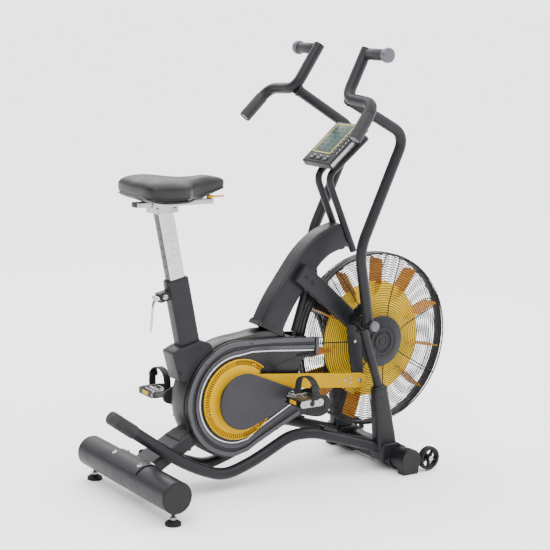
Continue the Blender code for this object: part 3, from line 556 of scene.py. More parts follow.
# floor frame
rearTube = {"z": 0.089, "r": 0.05, "half": 0.272, "footY": 0.252}
frontTube = {"x": 0.93, "z": 0.045, "r": 0.037, "half": 0.186}
railSettings = {"r": 0.019, "bend": 0.05, "y": 0.0715}
wheelSettings = {"x": 1.013, "z": 0.043, "r": 0.04, "spokes": 5}


def makeRearTube(t):
    y, r = t["half"], t["r"]
    profile = [(0, -y), (r - 0.0006, -y), (r, -y + 0.0008), (r, y - 0.0008), (r - 0.0006, y), (0, y)]
    show(lathe("rearTube", profile, at(0, 0, t["z"])), "frame", "charcoalPaint", "rear_stabiliser")
    for side, s in sidesOf:
        c = y + 0.0003
        cap = [(0, c), (r, c), (r, c + 0.0018), (r - 0.0012, c + 0.0042), (r - 0.004, c + 0.0055)]
        cap += [(r - 0.0075, c + 0.0058), (r - 0.0085, c + 0.0052), (0, c + 0.0054)]
        piece = lathe("rearCap_" + side, [(a, s * b) for a, b in cap], at(0, 0, t["z"]))
        show(piece, "frame", "blackPlastic", "rear_cap_" + side)
        foot = at(0, s * t["footY"], 0)
        pad = lathe("levelPad_" + side, [(0, 0), (0.0245, 0), (0.0245, 0.007), (0.0232, 0.0095),
                                         (0.0195, 0.0105), (0.015, 0.015), (0.0085, 0.016), (0, 0.016)],
                    origin, 48)
        pad.data.transform(Matrix.Translation(foot) @ Matrix.Rotation(pi / 2, 4, "X"))
        show(pad, "frame", "footRubber", "level_foot_" + side)
        nut = rod("levelNut_" + side, foot + Vector((0, 0, 0.0165)), foot + Vector((0, 0, 0.024)), 0.0108,
                  6)
        show(soften(nut, 0.0008, 2), "frame", "steel")
        thread = []
        for i in range(14):
            h = 0.024 + i * 0.0011
            thread += [(0.006, h), (0.0054, h + 0.00055)]
        stem = lathe("levelStem_" + side, [(0, 0.024)] + thread + [(0, 0.0395)], origin, 32, 60)
        stem.data.transform(Matrix.Translation(foot) @ Matrix.Rotation(pi / 2, 4, "X"))
        show(stem, "frame", "steel")
    # saddle plate that ties the flat beam to the tube, with its four cup screws
    rows = []
    for k in range(15):
        a = radians(28 + 118 * k / 14)
        rows.append((cos(a), sin(a)))
    bm = bmesh.new()
    inner, outer = [], []
    for c, q in rows:
        inner.append([bm.verts.new(at((r + 0.0004) * c, w, t["z"] + (r + 0.0004) * q))
                      for w in (-0.098, 0.098)])
        outer.append([bm.verts.new(at((r + 0.004) * c, w, t["z"] + (r + 0.004) * q))
                      for w in (-0.098, 0.098)])
    for k in range(14):
        bm.faces.new((outer[k][0], outer[k][1], outer[k + 1][1], outer[k + 1][0]))
        bm.faces.new((inner[k][0], inner[k + 1][0], inner[k + 1][1], inner[k][1]))
        bm.faces.new((inner[k][0], outer[k][0], outer[k + 1][0], inner[k + 1][0]))
        bm.faces.new((inner[k][1], inner[k + 1][1], outer[k + 1][1], outer[k][1]))
    bm.faces.new((inner[0][0], inner[0][1], outer[0][1], outer[0][0]))
    bm.faces.new((inner[14][0], outer[14][0], outer[14][1], inner[14][1]))
    plate = toObject("rearSaddlePlate", bm, 30)
    show(soften(plate, 0.0012, 2), "frame", "charcoalPaint")
    screws = []
    for y, a in ((-0.08, 112), (-0.08, 62), (0.08, 112), (0.08, 62)):
        face = Vector((cos(radians(a)), 0, sin(radians(a))))
        screws.append(boltHead("cup", at(0, y, t["z"]) + face * (r + 0.004), face, 0.0085, 0.005))
    show(merged("rearSaddleScrews", screws), "frame", "chrome")


def makeRearBeam():
    low, high = Vector((0.03, 0, 0.098)), Vector((0.182, 0, 0.18))
    beam = boxBeam("flatBeam", [at(*low), at(*high)], (0.046, 0.046), (0.104, 0.104), 0.009)
    show(beam, "frame", "charcoalPaint", "rear_beam")
    way = (high - low).normalized()
    collar = boxBeam("beamCollar", [at(*(high - way * 0.036)), at(*(high + way * 0.012))], (0.054, 0.058),
                     (0.098, 0.076), 0.011)
    show(collar, "frame", "blackPlastic")
    for k, y in enumerate((-0.036, 0.036)):
        up = way.cross(Vector((0, -1, 0))).normalized()
        place = at(*(high - way * 0.015)) + up * 0.0275 + Vector((0, y, 0))
        show(boltHead("collarScrew_%d" % k, place, up, 0.0055, 0.003, "socket"), "frame", "blackPlastic")


def railCorners(s):
    run = [(0.207, 0.0708, 0.0857), (0.298, 0.062, 0.0525), (0.405, 0.06, 0.082), (0.548, 0.064, 0.1505),
           (0.619, 0.092, 0.158), (0.905, 0.118, 0.067)]
    if s < 0:
        lead = [(-0.034, 0.0715, 0.242), (0.12, 0.0715, 0.132)]
    else:
        lead = [(0.07, 0.0715, 0.117), (0.12, 0.0715, 0.118)]
    return [at(x, s * y, z) for x, y, z in lead + run]


def makeRails(rail):
    for side, s in sidesOf:
        show(tube("sideRail_" + side, railCorners(s), rail["r"], rail["bend"]), "frame", "charcoalPaint",
             "side_rail_" + side)
        # pad plate under the front bend, bolted through the rail
        hold = brick("railPlate_" + side, at(0.64, s * 0.094 - 0.017, 0.158),
                     at(0.7, s * 0.094 + 0.017, 0.168), 0.002)
        turnDown = Matrix.Translation(at(0.67, 0, 0.15)) @ Matrix.Rotation(radians(17.6), 4, "Y")
        hold.data.transform(turnDown @ Matrix.Translation(-at(0.67, 0, 0.15)))
        show(hold, "frame", "charcoalPaint")
        show(boltHead("railPlateBolt_" + side, at(0.682, s * 0.094, 0.1605), (0.3, 0, 0.95), 0.0065, 0.004),
             "frame", "chrome")
    start, end = at(-0.119, -rail["y"], 0.3027), at(-0.0345, -rail["y"], 0.24236)
    way = (end - start).normalized()
    length = (end - start).length
    profile = [(0, 0), (0.013, 0.0), (0.0185, 0.0012), (0.0209, 0.0042), (0.0215, 0.0085), (0.0215, 0.02)]
    for k in range(12):
        d = 0.022 + k * 0.0058
        profile += [(0.0215, d), (0.0203, d + 0.0008), (0.0203, d + 0.002), (0.0215, d + 0.0028)]
    profile += [(0.0215, length - 0.004), (0.0208, length - 0.001), (0.0196, length), (0, length)]
    grip = lathe("liftGrip", profile, origin, 64, 45)
    grip.data.transform(aimed(start, way, "Y", "Z"))
    show(grip, "frame", "foamRubber", "lift_grip")


def makeFrontTube(t):
    y, r, x, z = t["half"], t["r"], t["x"], t["z"]
    profile = [(0, -y), (r - 0.0006, -y), (r, -y + 0.0008), (r, y - 0.0008), (r - 0.0006, y), (0, y)]
    show(lathe("frontTube", profile, at(x, 0, z)), "frame", "charcoalPaint", "front_stabiliser")
    for side, s in sidesOf:
        inner = y + 0.0003
        outline = arc((x, z), 0.0405, -35, 215, 60) + [(x - 0.031, 0.0), (x + 0.031, 0.0)]
        cap = sheetOf("frontCap_" + side, outline, s * inner, s * (inner + 0.036))
        show(soften(cap, 0.0035, 4, 50), "frame", "blackPlastic", "front_cap_" + side)
        strut = [(x + 0.02, z - 0.015)] + arc((wheelSettings["x"], wheelSettings["z"]), 0.0125, -90, 90, 14)
        strut += [(x + 0.02, z + 0.015)]
        arm = sheetOf("wheelStrut_" + side, strut, s * (inner + 0.0015), s * (inner + 0.0085))
        show(soften(arm, 0.0015, 2), "frame", "blackPlastic")
        # band plate where the fork leg sits on the tube, and its cup screws
        band = lathe("legBand_" + side, [(r + 0.0004, 0.086), (r + 0.0042, 0.086), (r + 0.0042, 0.153),
                                         (r + 0.0004, 0.153)], at(x, 0, z), side=s)
        show(soften(band, 0.001, 2), "frame", "charcoalPaint")
        screws = []
        for a, w in ((150, 0.1465), (150, 0.0925), (38, 0.1465), (38, 0.0925)):
            face = Vector((cos(radians(a)), 0, sin(radians(a))))
            screws.append(boltHead("cup", at(x, s * w, z) + face * (r + 0.0042), face, 0.0068, 0.0042))
        show(merged("legBandScrews_" + side, screws), "frame", "chrome")


def makeTransportWheels(w):
    for side, s in sidesOf:
        y = frontTube["half"] + 0.0103
        hub = at(w["x"], 0, w["z"])
        r = w["r"]
        tread = lathe("wheelTyre_" + side, [(0.03, y + 0.0012), (r - 0.003, y + 0.0012),
                      (r - 0.0008, y + 0.0028), (r, y + 0.006), (r, y + 0.018),
                      (r - 0.0008, y + 0.0212), (r - 0.003, y + 0.0228), (0.03, y + 0.0228),
                      (0.029, y + 0.019), (0.029, y + 0.005)], hub, 72, 40, side=s)
        show(tread, "wheel_" + side, "footRubber", "wheel_" + side)
        bm = bmesh.new()
        for i in range(w["spokes"]):
            a = 2 * pi * (i + 0.25) / w["spokes"]
            turn = Matrix.Translation(hub) @ Matrix.Rotation(a, 4, "Y")
            rings = []
            for d, half, thick in ((0.0085, 0.0052, 0.0072), (0.018, 0.0036, 0.0052),
                                   (0.0296, 0.0046, 0.0062)):
                rings.append([bm.verts.new(turn @ Vector((d, s * (y + 0.012) + u * thick, v * half)))
                              for u, v in ((-1, -1), (1, -1), (1, 1), (-1, 1))])
            bridge(bm, rings, caps=True)
        show(soften(toObject("wheelSpokes_" + side, bm), 0.0012, 2), "wheel_" + side, "blackPlastic")
        core = lathe("wheelHub_" + side, [(0.0062, y), (0.011, y), (0.0118, y + 0.002),
                     (0.0118, y + 0.022), (0.011, y + 0.024), (0.0062, y + 0.024)], hub, 48, side=s)
        show(core, "wheel_" + side, "blackPlastic")
        pin = rod("wheelPin_" + side, hub + sideStep(s * (y - 0.006)), hub + sideStep(s * (y + 0.0262)),
                  0.0055)
        show(pin, "frame", "steel")
        show(boltHead("wheelPinHead_" + side, hub + sideStep(s * (y + 0.0256)), (0, s, 0), 0.0088, 0.0042,
                      "dome"), "frame", "chrome")


makeRearTube(rearTube)
makeRearBeam()
makeRails(railSettings)
makeFrontTube(frontTube)
makeTransportWheels(wheelSettings)
print("floor frame done")

# fork legs
pivot = {"x": 0.782, "z": 0.511}
legSettings = {"y": 0.1195, "barrel": (0.1045, 0.1335), "tubeR": 0.0145}


def makeForkLegs(leg):
    for side, s in sidesOf:
        y = s * leg["y"]
        base, middle = at(0.893, y, 0.083), at(0.8595, y, 0.285)
        top = at(pivot["x"], y, pivot["z"] - 0.01)
        way = (middle - base).normalized()
        up = Vector((0, 1, 0)).cross(way)
        rings = []
        for place, depth, width, corner in (
            (base - way * 0.004, 0.076, 0.044, 0.011), (base + way * 0.03, 0.076, 0.044, 0.012),
            (middle - way * 0.01, 0.0555, 0.0382, 0.014), (middle, 0.053, 0.0375, 0.015),
            (middle + way * 0.004, 0.046, 0.035, 0.015), (middle + way * 0.006, 0.034, 0.032, 0.0155),
        ):
            rings.append(boxRing(place, up, Vector((0, 1, 0)), depth, width, corner, 7))
        sleeve = skin("legSleeve_" + side, rings)
        show(sleeve, "frame", "charcoalPaint", "fork_leg_" + side)
        show(tube("legTube_" + side, [middle - way * 0.02, middle, top], leg["tubeR"], 0.03), "frame",
             "charcoalPaint")
        foot = sheetOf("legShoe_" + side, [(0.862, 0.034), (0.862, 0.09), (0.866, 0.094), (0.928, 0.094),
                                           (0.962, 0.07)], y - 0.034, y + 0.034)
        clear = rod("c", at(frontTube["x"], y - 0.1, frontTube["z"]),
                    at(frontTube["x"], y + 0.1, frontTube["z"]), frontTube["r"] + 0.0005, 64)
        show(carve(bake(soften(foot, 0.003, 3)), clear), "frame", "charcoalPaint")
        a, b = leg["barrel"]
        barrel = lathe("legBarrel_" + side, [(0.0113, a), (0.0215, a), (0.0225, a + 0.001),
                                             (0.0225, b - 0.001), (0.0215, b), (0.0113, b)],
                       at(pivot["x"], 0, pivot["z"]), side=s)
        show(barrel, "frame", "charcoalPaint")
        weldBead("weldBarrel_" + side, top - Vector((0.004, 0, 0.012)), top - middle, leg["tubeR"] + 0.0006)
        weldBead("weldSleeve_" + side, middle + way * 0.0062, way, leg["tubeR"] + 0.001, 0.0026)
        clip = brick("legClip_" + side, at(0.826, y - 0.0045, 0.398), at(0.838, y + 0.0045, 0.424), 0.002)
        show(clip, "frame", "blackPlastic")
        show(boltHead("legScrew_" + side, at(0.858, y - s * -0.0185, 0.254), (0, s, 0), 0.0042, 0.002,
                      "socket"), "frame", "blackPlastic")


makeForkLegs(legSettings)
print("fork legs done")

# main beam, box arms, console mast
beamSettings = {"half": 0.0355, "path": [(0.483, 0, 0.5), (0.52, 0, 0.575), (0.622, 0, 0.715),
                                         (0.68, 0, 0.765), (0.756, 0, 0.789)]}


def makeMainBeam(b):
    half = b["half"]
    path = [at(*p) for p in b["path"]]
    show(boxBeam("mainBeam", path, (0.092, 0.084), (half * 2, half * 2), 0.012, 0.055), "frame",
         "charcoalPaint", "main_beam")
    strut = rod("beamStrut", at(0.652, 0, 0.672), at(0.5935, 0, 0.478), 0.0125)
    show(strut, "frame", "charcoalPaint")
    weldBead("weldStrut", at(0.6415, 0, 0.6375), Vector((0.0585, 0, 0.194)), 0.013)
    # base flange of the beam with its screws, let into the housing's spine
    lay = (path[1] - path[0]).normalized()
    flange = boxBeam("beamFlange", [path[0] - lay * 0.004, path[0] + lay * 0.01], (0.108, 0.104),
                     (0.076, 0.074), 0.012)
    show(flange, "frame", "housingPlastic")
    for k, (d, w) in enumerate(((0.046, -0.024), (0.046, 0.024), (-0.046, -0.024), (-0.046, 0.024))):
        up = Vector((0, 1, 0)).cross(lay).normalized()
        place = path[0] + lay * 0.01 + up * d + sideStep(w)
        show(boltHead("flangeScrew_%d" % k, place, lay, 0.0058, 0.0034, "hex"), "frame", "blackPlastic")
    for side, s in sidesOf:
        near, far = half + 0.0133, 0.0556
        corners = [at(0.575, s * near, 0.682), at(0.64, s * near, 0.632),
                   at(pivot["x"], s * far, pivot["z"])]
        show(boxBeam("boxArm_" + side, corners, (0.066, 0.06), (0.026, 0.015), 0.006, 0.02), "frame",
             "charcoalPaint", "box_arm_" + side)
        nose = lathe("armNose_" + side, [(0.0113, 0.0478), (0.0295, 0.0478), (0.0305, 0.0488),
                                         (0.0305, 0.0626), (0.0295, 0.0636), (0.0113, 0.0636)],
                     at(pivot["x"], 0, pivot["z"]), side=s)
        show(nose, "frame", "charcoalPaint")
        for k, (x, z) in enumerate(((0.596, 0.668), (0.622, 0.648))):
            show(boltHead("armBolt_%s_%d" % (side, k), at(x, s * 0.0618, z), (0, s, 0), 0.0072, 0.0034,
                          "dome"), "frame", "charcoalPaint")


tilt = radians(41.0)
faceUp = Vector((-sin(tilt), 0, cos(tilt)))
faceAlong = Vector((cos(tilt), 0, sin(tilt)))
consoleMiddle = at(0.735, 0, 1.082)
consoleHinge = consoleMiddle + faceAlong * 0.088 - faceUp * 0.024


def makeMast():
    stands = []
    for side, s in sidesOf:
        stands.append(tube("m", [at(0.8, s * 0.031, 0.735), at(0.686, s * 0.031, 0.984),
                                 at(0.836, s * 0.031, 1.106)], 0.0115, 0.035))
    show(merged("mastTubes", stands), "frame", "charcoalPaint", "console_mast")
    lean = Vector((0.114, 0, -0.249)).normalized()
    plateAt = at(0.7793, 0, 0.78)
    plate = boxBeam("mastPlate", [plateAt - lean * 0.04, plateAt + lean * 0.038], (0.005, 0.005),
                    (0.062, 0.062), 0.002, 0.01)
    show(plate, "frame", "charcoalPaint")
    side = lean.cross(Vector((0, 1, 0)))
    bolts = [boltHead("b", plateAt + lean * d + sideStep(w) + side * g * 0.0025, side * g, 0.0062, 0.004)
             for d in (-0.026, 0.024) for w in (-0.018, 0.018) for g in (1, -1)]
    show(merged("mastBolts", bolts), "frame", "chrome")
    head = brick("mastHead", at(0.812, -0.034, 1.093), at(0.838, 0.034, 1.108), 0.004)
    show(head, "frame", "blackPlastic")
    lugs = []
    x, z = consoleHinge.x - rearX, consoleHinge.z
    for name, s in sidesOf:
        outline = arc((x, z), 0.0085, 0, 180, 24) + [(x - 0.0085, 1.1), (x + 0.0085, 1.1)]
        lugs.append(soften(sheetOf("lug", outline, s * 0.0105, s * 0.0185), 0.0008, 2))
    show(merged("mastLugs", lugs), "frame", "blackPlastic")
    show(rod("consolePin", consoleHinge - sideStep(0.0215), consoleHinge + sideStep(0.0215), 0.0036, 24),
         "frame", "steel")
    # plugs in the open tube ends
    for name, s in sidesOf:
        end, before = at(0.836, s * 0.031, 1.106), at(0.686, s * 0.031, 0.984)
        way = (end - before).normalized()
        show(rod("mastPlug_" + name, end - way * 0.004, end + way * 0.0025, 0.0118, 36, 0.01), "frame",
             "endCapGrey")


makeMainBeam(beamSettings)
makeMast()
print("beam and mast done")

# housing of the drive
crank = {"x": 0.352, "z": 0.2924, "length": 0.175, "drum": 0.19}
fanSettings = {
    "x": 0.913, "z": 0.4235, "cageR": 0.2955, "rings": 28, "wire": 0.0013, "spokes": 7, "spokeStart": 73.5,
    "paddles": 11, "paddleStart": 87.6, "discR": 0.198, "paddleR": 0.2755, "paddleHalf": 0.0347,
}
crankAt = (crank["x"], crank["z"])
housingLook = {"seam": 0.034, "face": 0.053, "floor": 0.0465}


def fanCutter():
    f = fanSettings
    return rod("c", at(f["x"], -0.0475, f["z"]), at(f["x"], 0.0475, f["z"]), f["cageR"] + 0.008, 128)


def roundedOutline(outline, reach=0.008, steps=4):
    count = len(outline)
    out = []
    for i in range(count):
        a, b, c = Vector(outline[i - 1]), Vector(outline[i]), Vector(outline[(i + 1) % count])
        turned = (b - a).angle(c - b)
        if turned < radians(14):
            out.append(tuple(b))
            continue
        cutIn, cutOut = min(reach, (b - a).length * 0.45), min(reach, (c - b).length * 0.45)
        start, end = b + (a - b).normalized() * cutIn, b + (c - b).normalized() * cutOut
        for k in range(steps + 1):
            t = k / steps
            out.append(tuple(start * (1 - t) ** 2 + b * (2 * t * (1 - t)) + end * t * t))
    return out


def ribbon(name, path, wide, low, high, s, slope=0.0):
    bm = bmesh.new()
    points = [Vector((p[0], p[1])) for p in path]
    sections = []
    for i, point in enumerate(points):
        ahead = (points[min(i + 1, len(points) - 1)] - points[max(i - 1, 0)]).normalized()
        side = Vector((ahead.y, -ahead.x))
        w = wide[i] if isinstance(wide, list) else wide
        a, b = point + side * w / 2, point - side * w / 2
        section = [(a, low), (a, high - slope), (b, high), (b, low)]
        sections.append([bm.verts.new((p.x + rearX, s * y, p.y)) for p, y in section])
    bridge(bm, sections, caps=True)
    return toObject(name, bm, 30)


def makeHousing(look):
    outline = arc(crankAt, crank["drum"], 93, 268, 90)
    outline += [(0.392, 0.113), (0.43, 0.133), (0.513, 0.172), (0.6, 0.208), (0.64, 0.196), (0.676, 0.189)]
    outline += [(0.703, 0.196), (0.717, 0.215), (0.719, 0.238), (0.708, 0.258), (0.688, 0.264),
                (0.612, 0.266)]
    outline += [(0.582, 0.3), (0.578, 0.36), (0.598, 0.4), (0.648, 0.402), (0.658, 0.41)]
    outline += [(0.66, 0.456), (0.65, 0.467), (0.48, 0.479)]
    outline = roundedOutline(outline, 0.014, 6)
    spine = arc(crankAt, crank["drum"] + 0.004, 96, 264, 90)
    spine += [(0.4, 0.121), (0.513, 0.178), (0.595, 0.214), (0.595, 0.456), (0.58, 0.466)]
    spine += [(0.535, 0.473), (0.532, 0.499), (0.44, 0.499), (0.4, 0.492)]
    core = sheetOf("housingSpine", roundedOutline(spine, 0.012, 5), -look["seam"] + 0.0003,
                   look["seam"] - 0.0003)
    core = bake(soften(core, 0.0025, 3))
    show(carve(core, fanCutter()), "frame", "spinePlastic", "housing_centre")
    bandPath = arc(crankAt, 0.1785, 96, 268, 80)
    upper = [(0.352, 0.4708), (0.42, 0.47), (0.48, 0.468), (0.56, 0.4625), (0.64, 0.457)]
    lower = [(0.388, 0.1235), (0.428, 0.1455), (0.508, 0.1835), (0.588, 0.219)]
    for side, s in sidesOf:
        shell = sheetOf("housingShell_" + side, outline, s * look["seam"], s * look["floor"])
        shell = carve(bake(soften(shell, 0.005, 4)), fanCutter())
        show(shell, "frame", "housingPlastic", "housing_" + side)
        wideBand = list(reversed(upper)) + bandPath + lower
        band = ribbon("housingBand_" + side, wideBand, 0.015, 0.044, look["face"], s)
        show(soften(band, 0.0022, 3), "frame", "bandPlastic")
        endPost = ribbon("housingBandEnd_" + side, [(0.652, 0.464), (0.652, 0.404)], 0.011, 0.044,
                         look["face"], s)
        show(soften(endPost, 0.002, 3), "frame", "bandPlastic")
        innerBand = [(0.642, 0.4325), (0.567, 0.438), (0.48, 0.446), (0.4, 0.45)]
        innerBand += arc(crankAt, 0.1525, 88, 272, 80) + [(0.392, 0.148), (0.4475, 0.183), (0.574, 0.248)]
        step = ribbon("housingStep_" + side, innerBand, 0.013, 0.044, 0.0508, s, -0.003)
        show(soften(step, 0.0012, 2), "frame", "bandPlastic")
        trimPath = [(0.64, 0.4215), (0.567, 0.4275), (0.48, 0.436), (0.402, 0.4405)]
        trimPath += arc(crankAt, 0.142, 90, 270, 80) + [(0.388, 0.156), (0.4425, 0.1925), (0.569, 0.257)]
        trim = ribbon("housingTrim_" + side, trimPath, 0.005, 0.044, 0.05, s)
        show(soften(trim, 0.001, 2), "frame", "trimGloss")
        # thin outer skin that runs on over the cage at the two front ends
        middle = (0.42, 0.3)
        skinLine = [(middle[0] + (x - middle[0]) * 0.988, middle[1] + (z - middle[1]) * 0.984)
                    for x, z in outline]
        show(soften(sheetOf("housingSkin_" + side, skinLine, s * 0.0455, s * 0.0486), 0.0008, 2), "frame",
             "housingPlastic")
        # louvres at the front end of the upper limb
        slats = []
        for k in range(10):
            x = 0.574 + k * 0.0078
            low, high = 0.4055 - k * 0.0001, 0.415 + k * 0.0008
            slat = ribbon("slat", [(x - 0.002, low), (x + 0.004, high)], 0.003, 0.045, 0.0512, s, 0.0022)
            slats.append(slat)
        show(merged("housingLouvres_" + side, slats), "frame", "bandPlastic")
        shelf = ribbon("housingShelf_" + side, [(0.452, 0.356), (0.5, 0.39), (0.57, 0.402)], 0.005, 0.044,
                       0.0512, s)
        show(soften(shelf, 0.0015, 2), "frame", "housingPlastic")
        # fine ribs on the nose
        ribs = []
        for k in range(7):
            x = 0.624 + k * 0.0115
            ribs.append(ribbon("rib", [(x, 0.208), (x + 0.004, 0.254)], 0.005, 0.044, 0.05, s))
        show(merged("noseRibs_" + side, ribs), "frame", "housingPlastic")
        screws = []
        for x, z in ((0.655, 0.444), (0.5, 0.1745), (0.1745, 0.24), (0.225, 0.418), (0.395, 0.469)):
            screws.append(boltHead("s", at(x, s * (look["face"] - 0.0006), z), (0, s, 0), 0.0034, 0.0012,
                                   "socket"))
        show(merged("housingScrews_" + side, screws), "frame", "blackPlastic")


def makeRing():
    inner, lip, outer = 0.073, 0.1105, 0.1306
    for side, s in sidesOf:
        y, tall = 0.044, 0.0583
        # the plate's inner edge runs in under the crank cover
        flat = arc(crankAt, lip + 0.0006, 47, 326, 90) + arc(crankAt, inner, 326, 47, 90)
        plate = sheetOf("ringPlate_" + side, flat, s * y, s * (tall - 0.0004))
        show(soften(plate, 0.0012, 2), "frame", "amberPlastic", "housing_ring_" + side)
        # the bowl between the ribs gets a darker amber: painted shade in the recess
        rim = arc(crankAt, outer, 47, 326, 90) + arc(crankAt, lip, 326, 47, 90)
        bowl = sheetOf("ringBowl_" + side, rim, s * y, s * 0.0528)
        show(soften(bowl, 0.001, 2), "frame", "amberPaintedShade")
        edge = arc(crankAt, outer, 47, 326, 90) + arc(crankAt, outer - 0.003, 326, 47, 90)
        show(soften(sheetOf("ringEdge_" + side, edge, s * y, s * 0.0572), 0.0008, 2), "frame",
             "amberPlastic")
        ribs = []
        for k in range(50):
            a = radians(100 + k * 3.6)
            c, q = cos(a), sin(a)
            start = (crank["x"] + (lip - 0.001) * c, crank["z"] + (lip - 0.001) * q)
            end = (crank["x"] + (outer - 0.002) * c, crank["z"] + (outer - 0.002) * q)
            ribs.append(ribbon("r", [start, end], 0.0024, 0.05, 0.0572, s))
        show(merged("ringRibs_" + side, ribs), "frame", "amberPlastic")
        screws, bosses = [], []
        for a in (64, 197, 306):
            c, q = cos(radians(a)), sin(radians(a))
            place = at(crank["x"] + 0.1165 * c, 0, crank["z"] + 0.1165 * q)
            bosses.append(rod("b", place + sideStep(s * 0.05), place + sideStep(s * 0.058), 0.0068, 32))
            screws.append(boltHead("s", place + sideStep(s * 0.0578), (0, s, 0), 0.0036, 0.001, "socket"))
        show(merged("ringBosses_" + side, bosses), "frame", "amberPlastic")
        show(merged("ringScrews_" + side, screws), "frame", "blackPlastic")


makeHousing(housingLook)
makeRing()
print("housing done")

# seat
seatLean = 0.218
seatAxis = Vector((-seatLean, 0, 1)).normalized()
seatAcross = Vector((1, 0, seatLean)).normalized()
tubeTop = at(0.1435, 0, 0.688)
sideways = Vector((0, 1, 0))


def makeSeatTube():
    low = tubeTop - seatAxis * 0.207
    shell = skin("seatTube", [boxRing(p, seatAcross, sideways, 0.072, 0.046, 0.009, 8)
                              for p in (low, tubeTop)])
    bore = skin("c", [boxRing(p, seatAcross, sideways, 0.0546, 0.0366, 0.0053, 4)
                      for p in (low + seatAxis * 0.004, tubeTop + seatAxis * 0.02)])
    show(bake(soften(carve(shell, bore), 0.0008, 2)), "frame", "charcoalPaint", "seat_tube")
    rings = []
    for d, t in ((-0.002, 0), (0.003, 0), (0.0042, 0.0024)):
        rings.append(boxRing(tubeTop + seatAxis * d, seatAcross, sideways, 0.064 - t, 0.043 - t, 0.007, 8))
    lip = skin("seatTubeLiner", rings)
    hole = skin("c", [boxRing(tubeTop + seatAxis * d, seatAcross, sideways, 0.0546, 0.0366, 0.0053, 4)
                      for d in (-0.01, 0.02)])
    show(carve(lip, hole), "frame", "blackPlastic")
    outline = [(0.1445, 0.37), (0.118, 0.462), (0.1512, 0.4768), (0.2236, 0.4926), (0.256, 0.479),
               (0.27, 0.44), (0.19, 0.36)]
    bracket = sheetOf("seatBracket", roundedOutline(outline, 0.008, 4), -0.0335, 0.0335)
    drum = rod("c", at(crank["x"], -0.1, crank["z"]), at(crank["x"], 0.1, crank["z"]),
               crank["drum"] + 0.0045, 160)
    bracket = bake(soften(bracket, 0.003, 3))
    show(carve(bracket, drum), "frame", "charcoalPaint", "seat_bracket")
    for side, s in sidesOf:
        show(boltHead("bracketBolt_" + side, at(0.148, s * 0.0335, 0.396), (0, s, 0), 0.0062, 0.0026,
                      "socket"), "frame", "blackPlastic")
    stay = skin("seatTubeFoot", [boxRing(low + seatAxis * d, seatAcross, sideways, 0.074, 0.048, 0.01, 8)
                                 for d in (-0.001, 0.004)])
    show(stay, "frame", "charcoalPaint")


clampAt = tubeTop - seatAxis * 0.04 - seatAcross * 0.0363
leverAt = clampAt - seatAcross * 0.034 + Vector((-0.0085, 0, 0))


def makeClamp():
    body = boxBeam("clampBlock", [clampAt - seatAcross * 0.034, clampAt], (0.03, 0.03), (0.034, 0.034),
                   0.006)
    show(body, "frame", "blackPlastic", "clamp_block")
    strip = boxBeam("clampStrip", [tubeTop - seatAxis * 0.03 - seatAcross * 0.0365,
                                   tubeTop + seatAxis * 0.0015 - seatAcross * 0.0365], (0.0045, 0.0045),
                    (0.024, 0.024), 0.002)
    show(strip, "frame", "blackPlastic")
    rivets = []
    for s in (-1, 1):
        rivets.append(boltHead("k", clampAt - seatAcross * 0.017 + sideStep(s * 0.017), (0, s, 0), 0.0092,
                               0.004))
    show(merged("clampKnobs", rivets), "frame", "satinAlloy")
    pivotPin = lathe("clampLeverBarrel", [(0, -0.013), (0.0062, -0.013), (0.0075, -0.0118),
                                          (0.0075, 0.0118), (0.0062, 0.013), (0, 0.013)], leverAt)
    show(pivotPin, "clamp_lever", "chrome", "clamp_lever")
    rings = []
    course = bendPath([leverAt, leverAt + Vector((-0.01, 0, -0.02)),
                       leverAt + Vector((-0.016, 0, -0.104))], 0.012, 10)
    for i, point in enumerate(course):
        ahead = (course[min(i + 1, len(course) - 1)] - course[max(i - 1, 0)]).normalized()
        up = sideways.cross(ahead).normalized()
        share = i / (len(course) - 1)
        wide = 0.009 + 0.0045 * max(0.0, share - 0.4)
        thick = 0.0088 - 0.0024 * share
        rings.append([point + up * cos(t) * thick / 2 + sideways * sin(t) * wide / 2
                      for t in turns(20)])
    end = course[-1]
    way = (course[-1] - course[-2]).normalized()
    up = sideways.cross(way).normalized()
    for d, scale in ((0.0012, 0.85), (0.002, 0.5)):
        rings.append([end + way * d * 0.4 + up * cos(t) * 0.0032 * scale
                      + sideways * sin(t) * 0.0055 * scale for t in turns(20)])
    show(skin("clampLeverArm", rings, 60), "clamp_lever", "chrome")


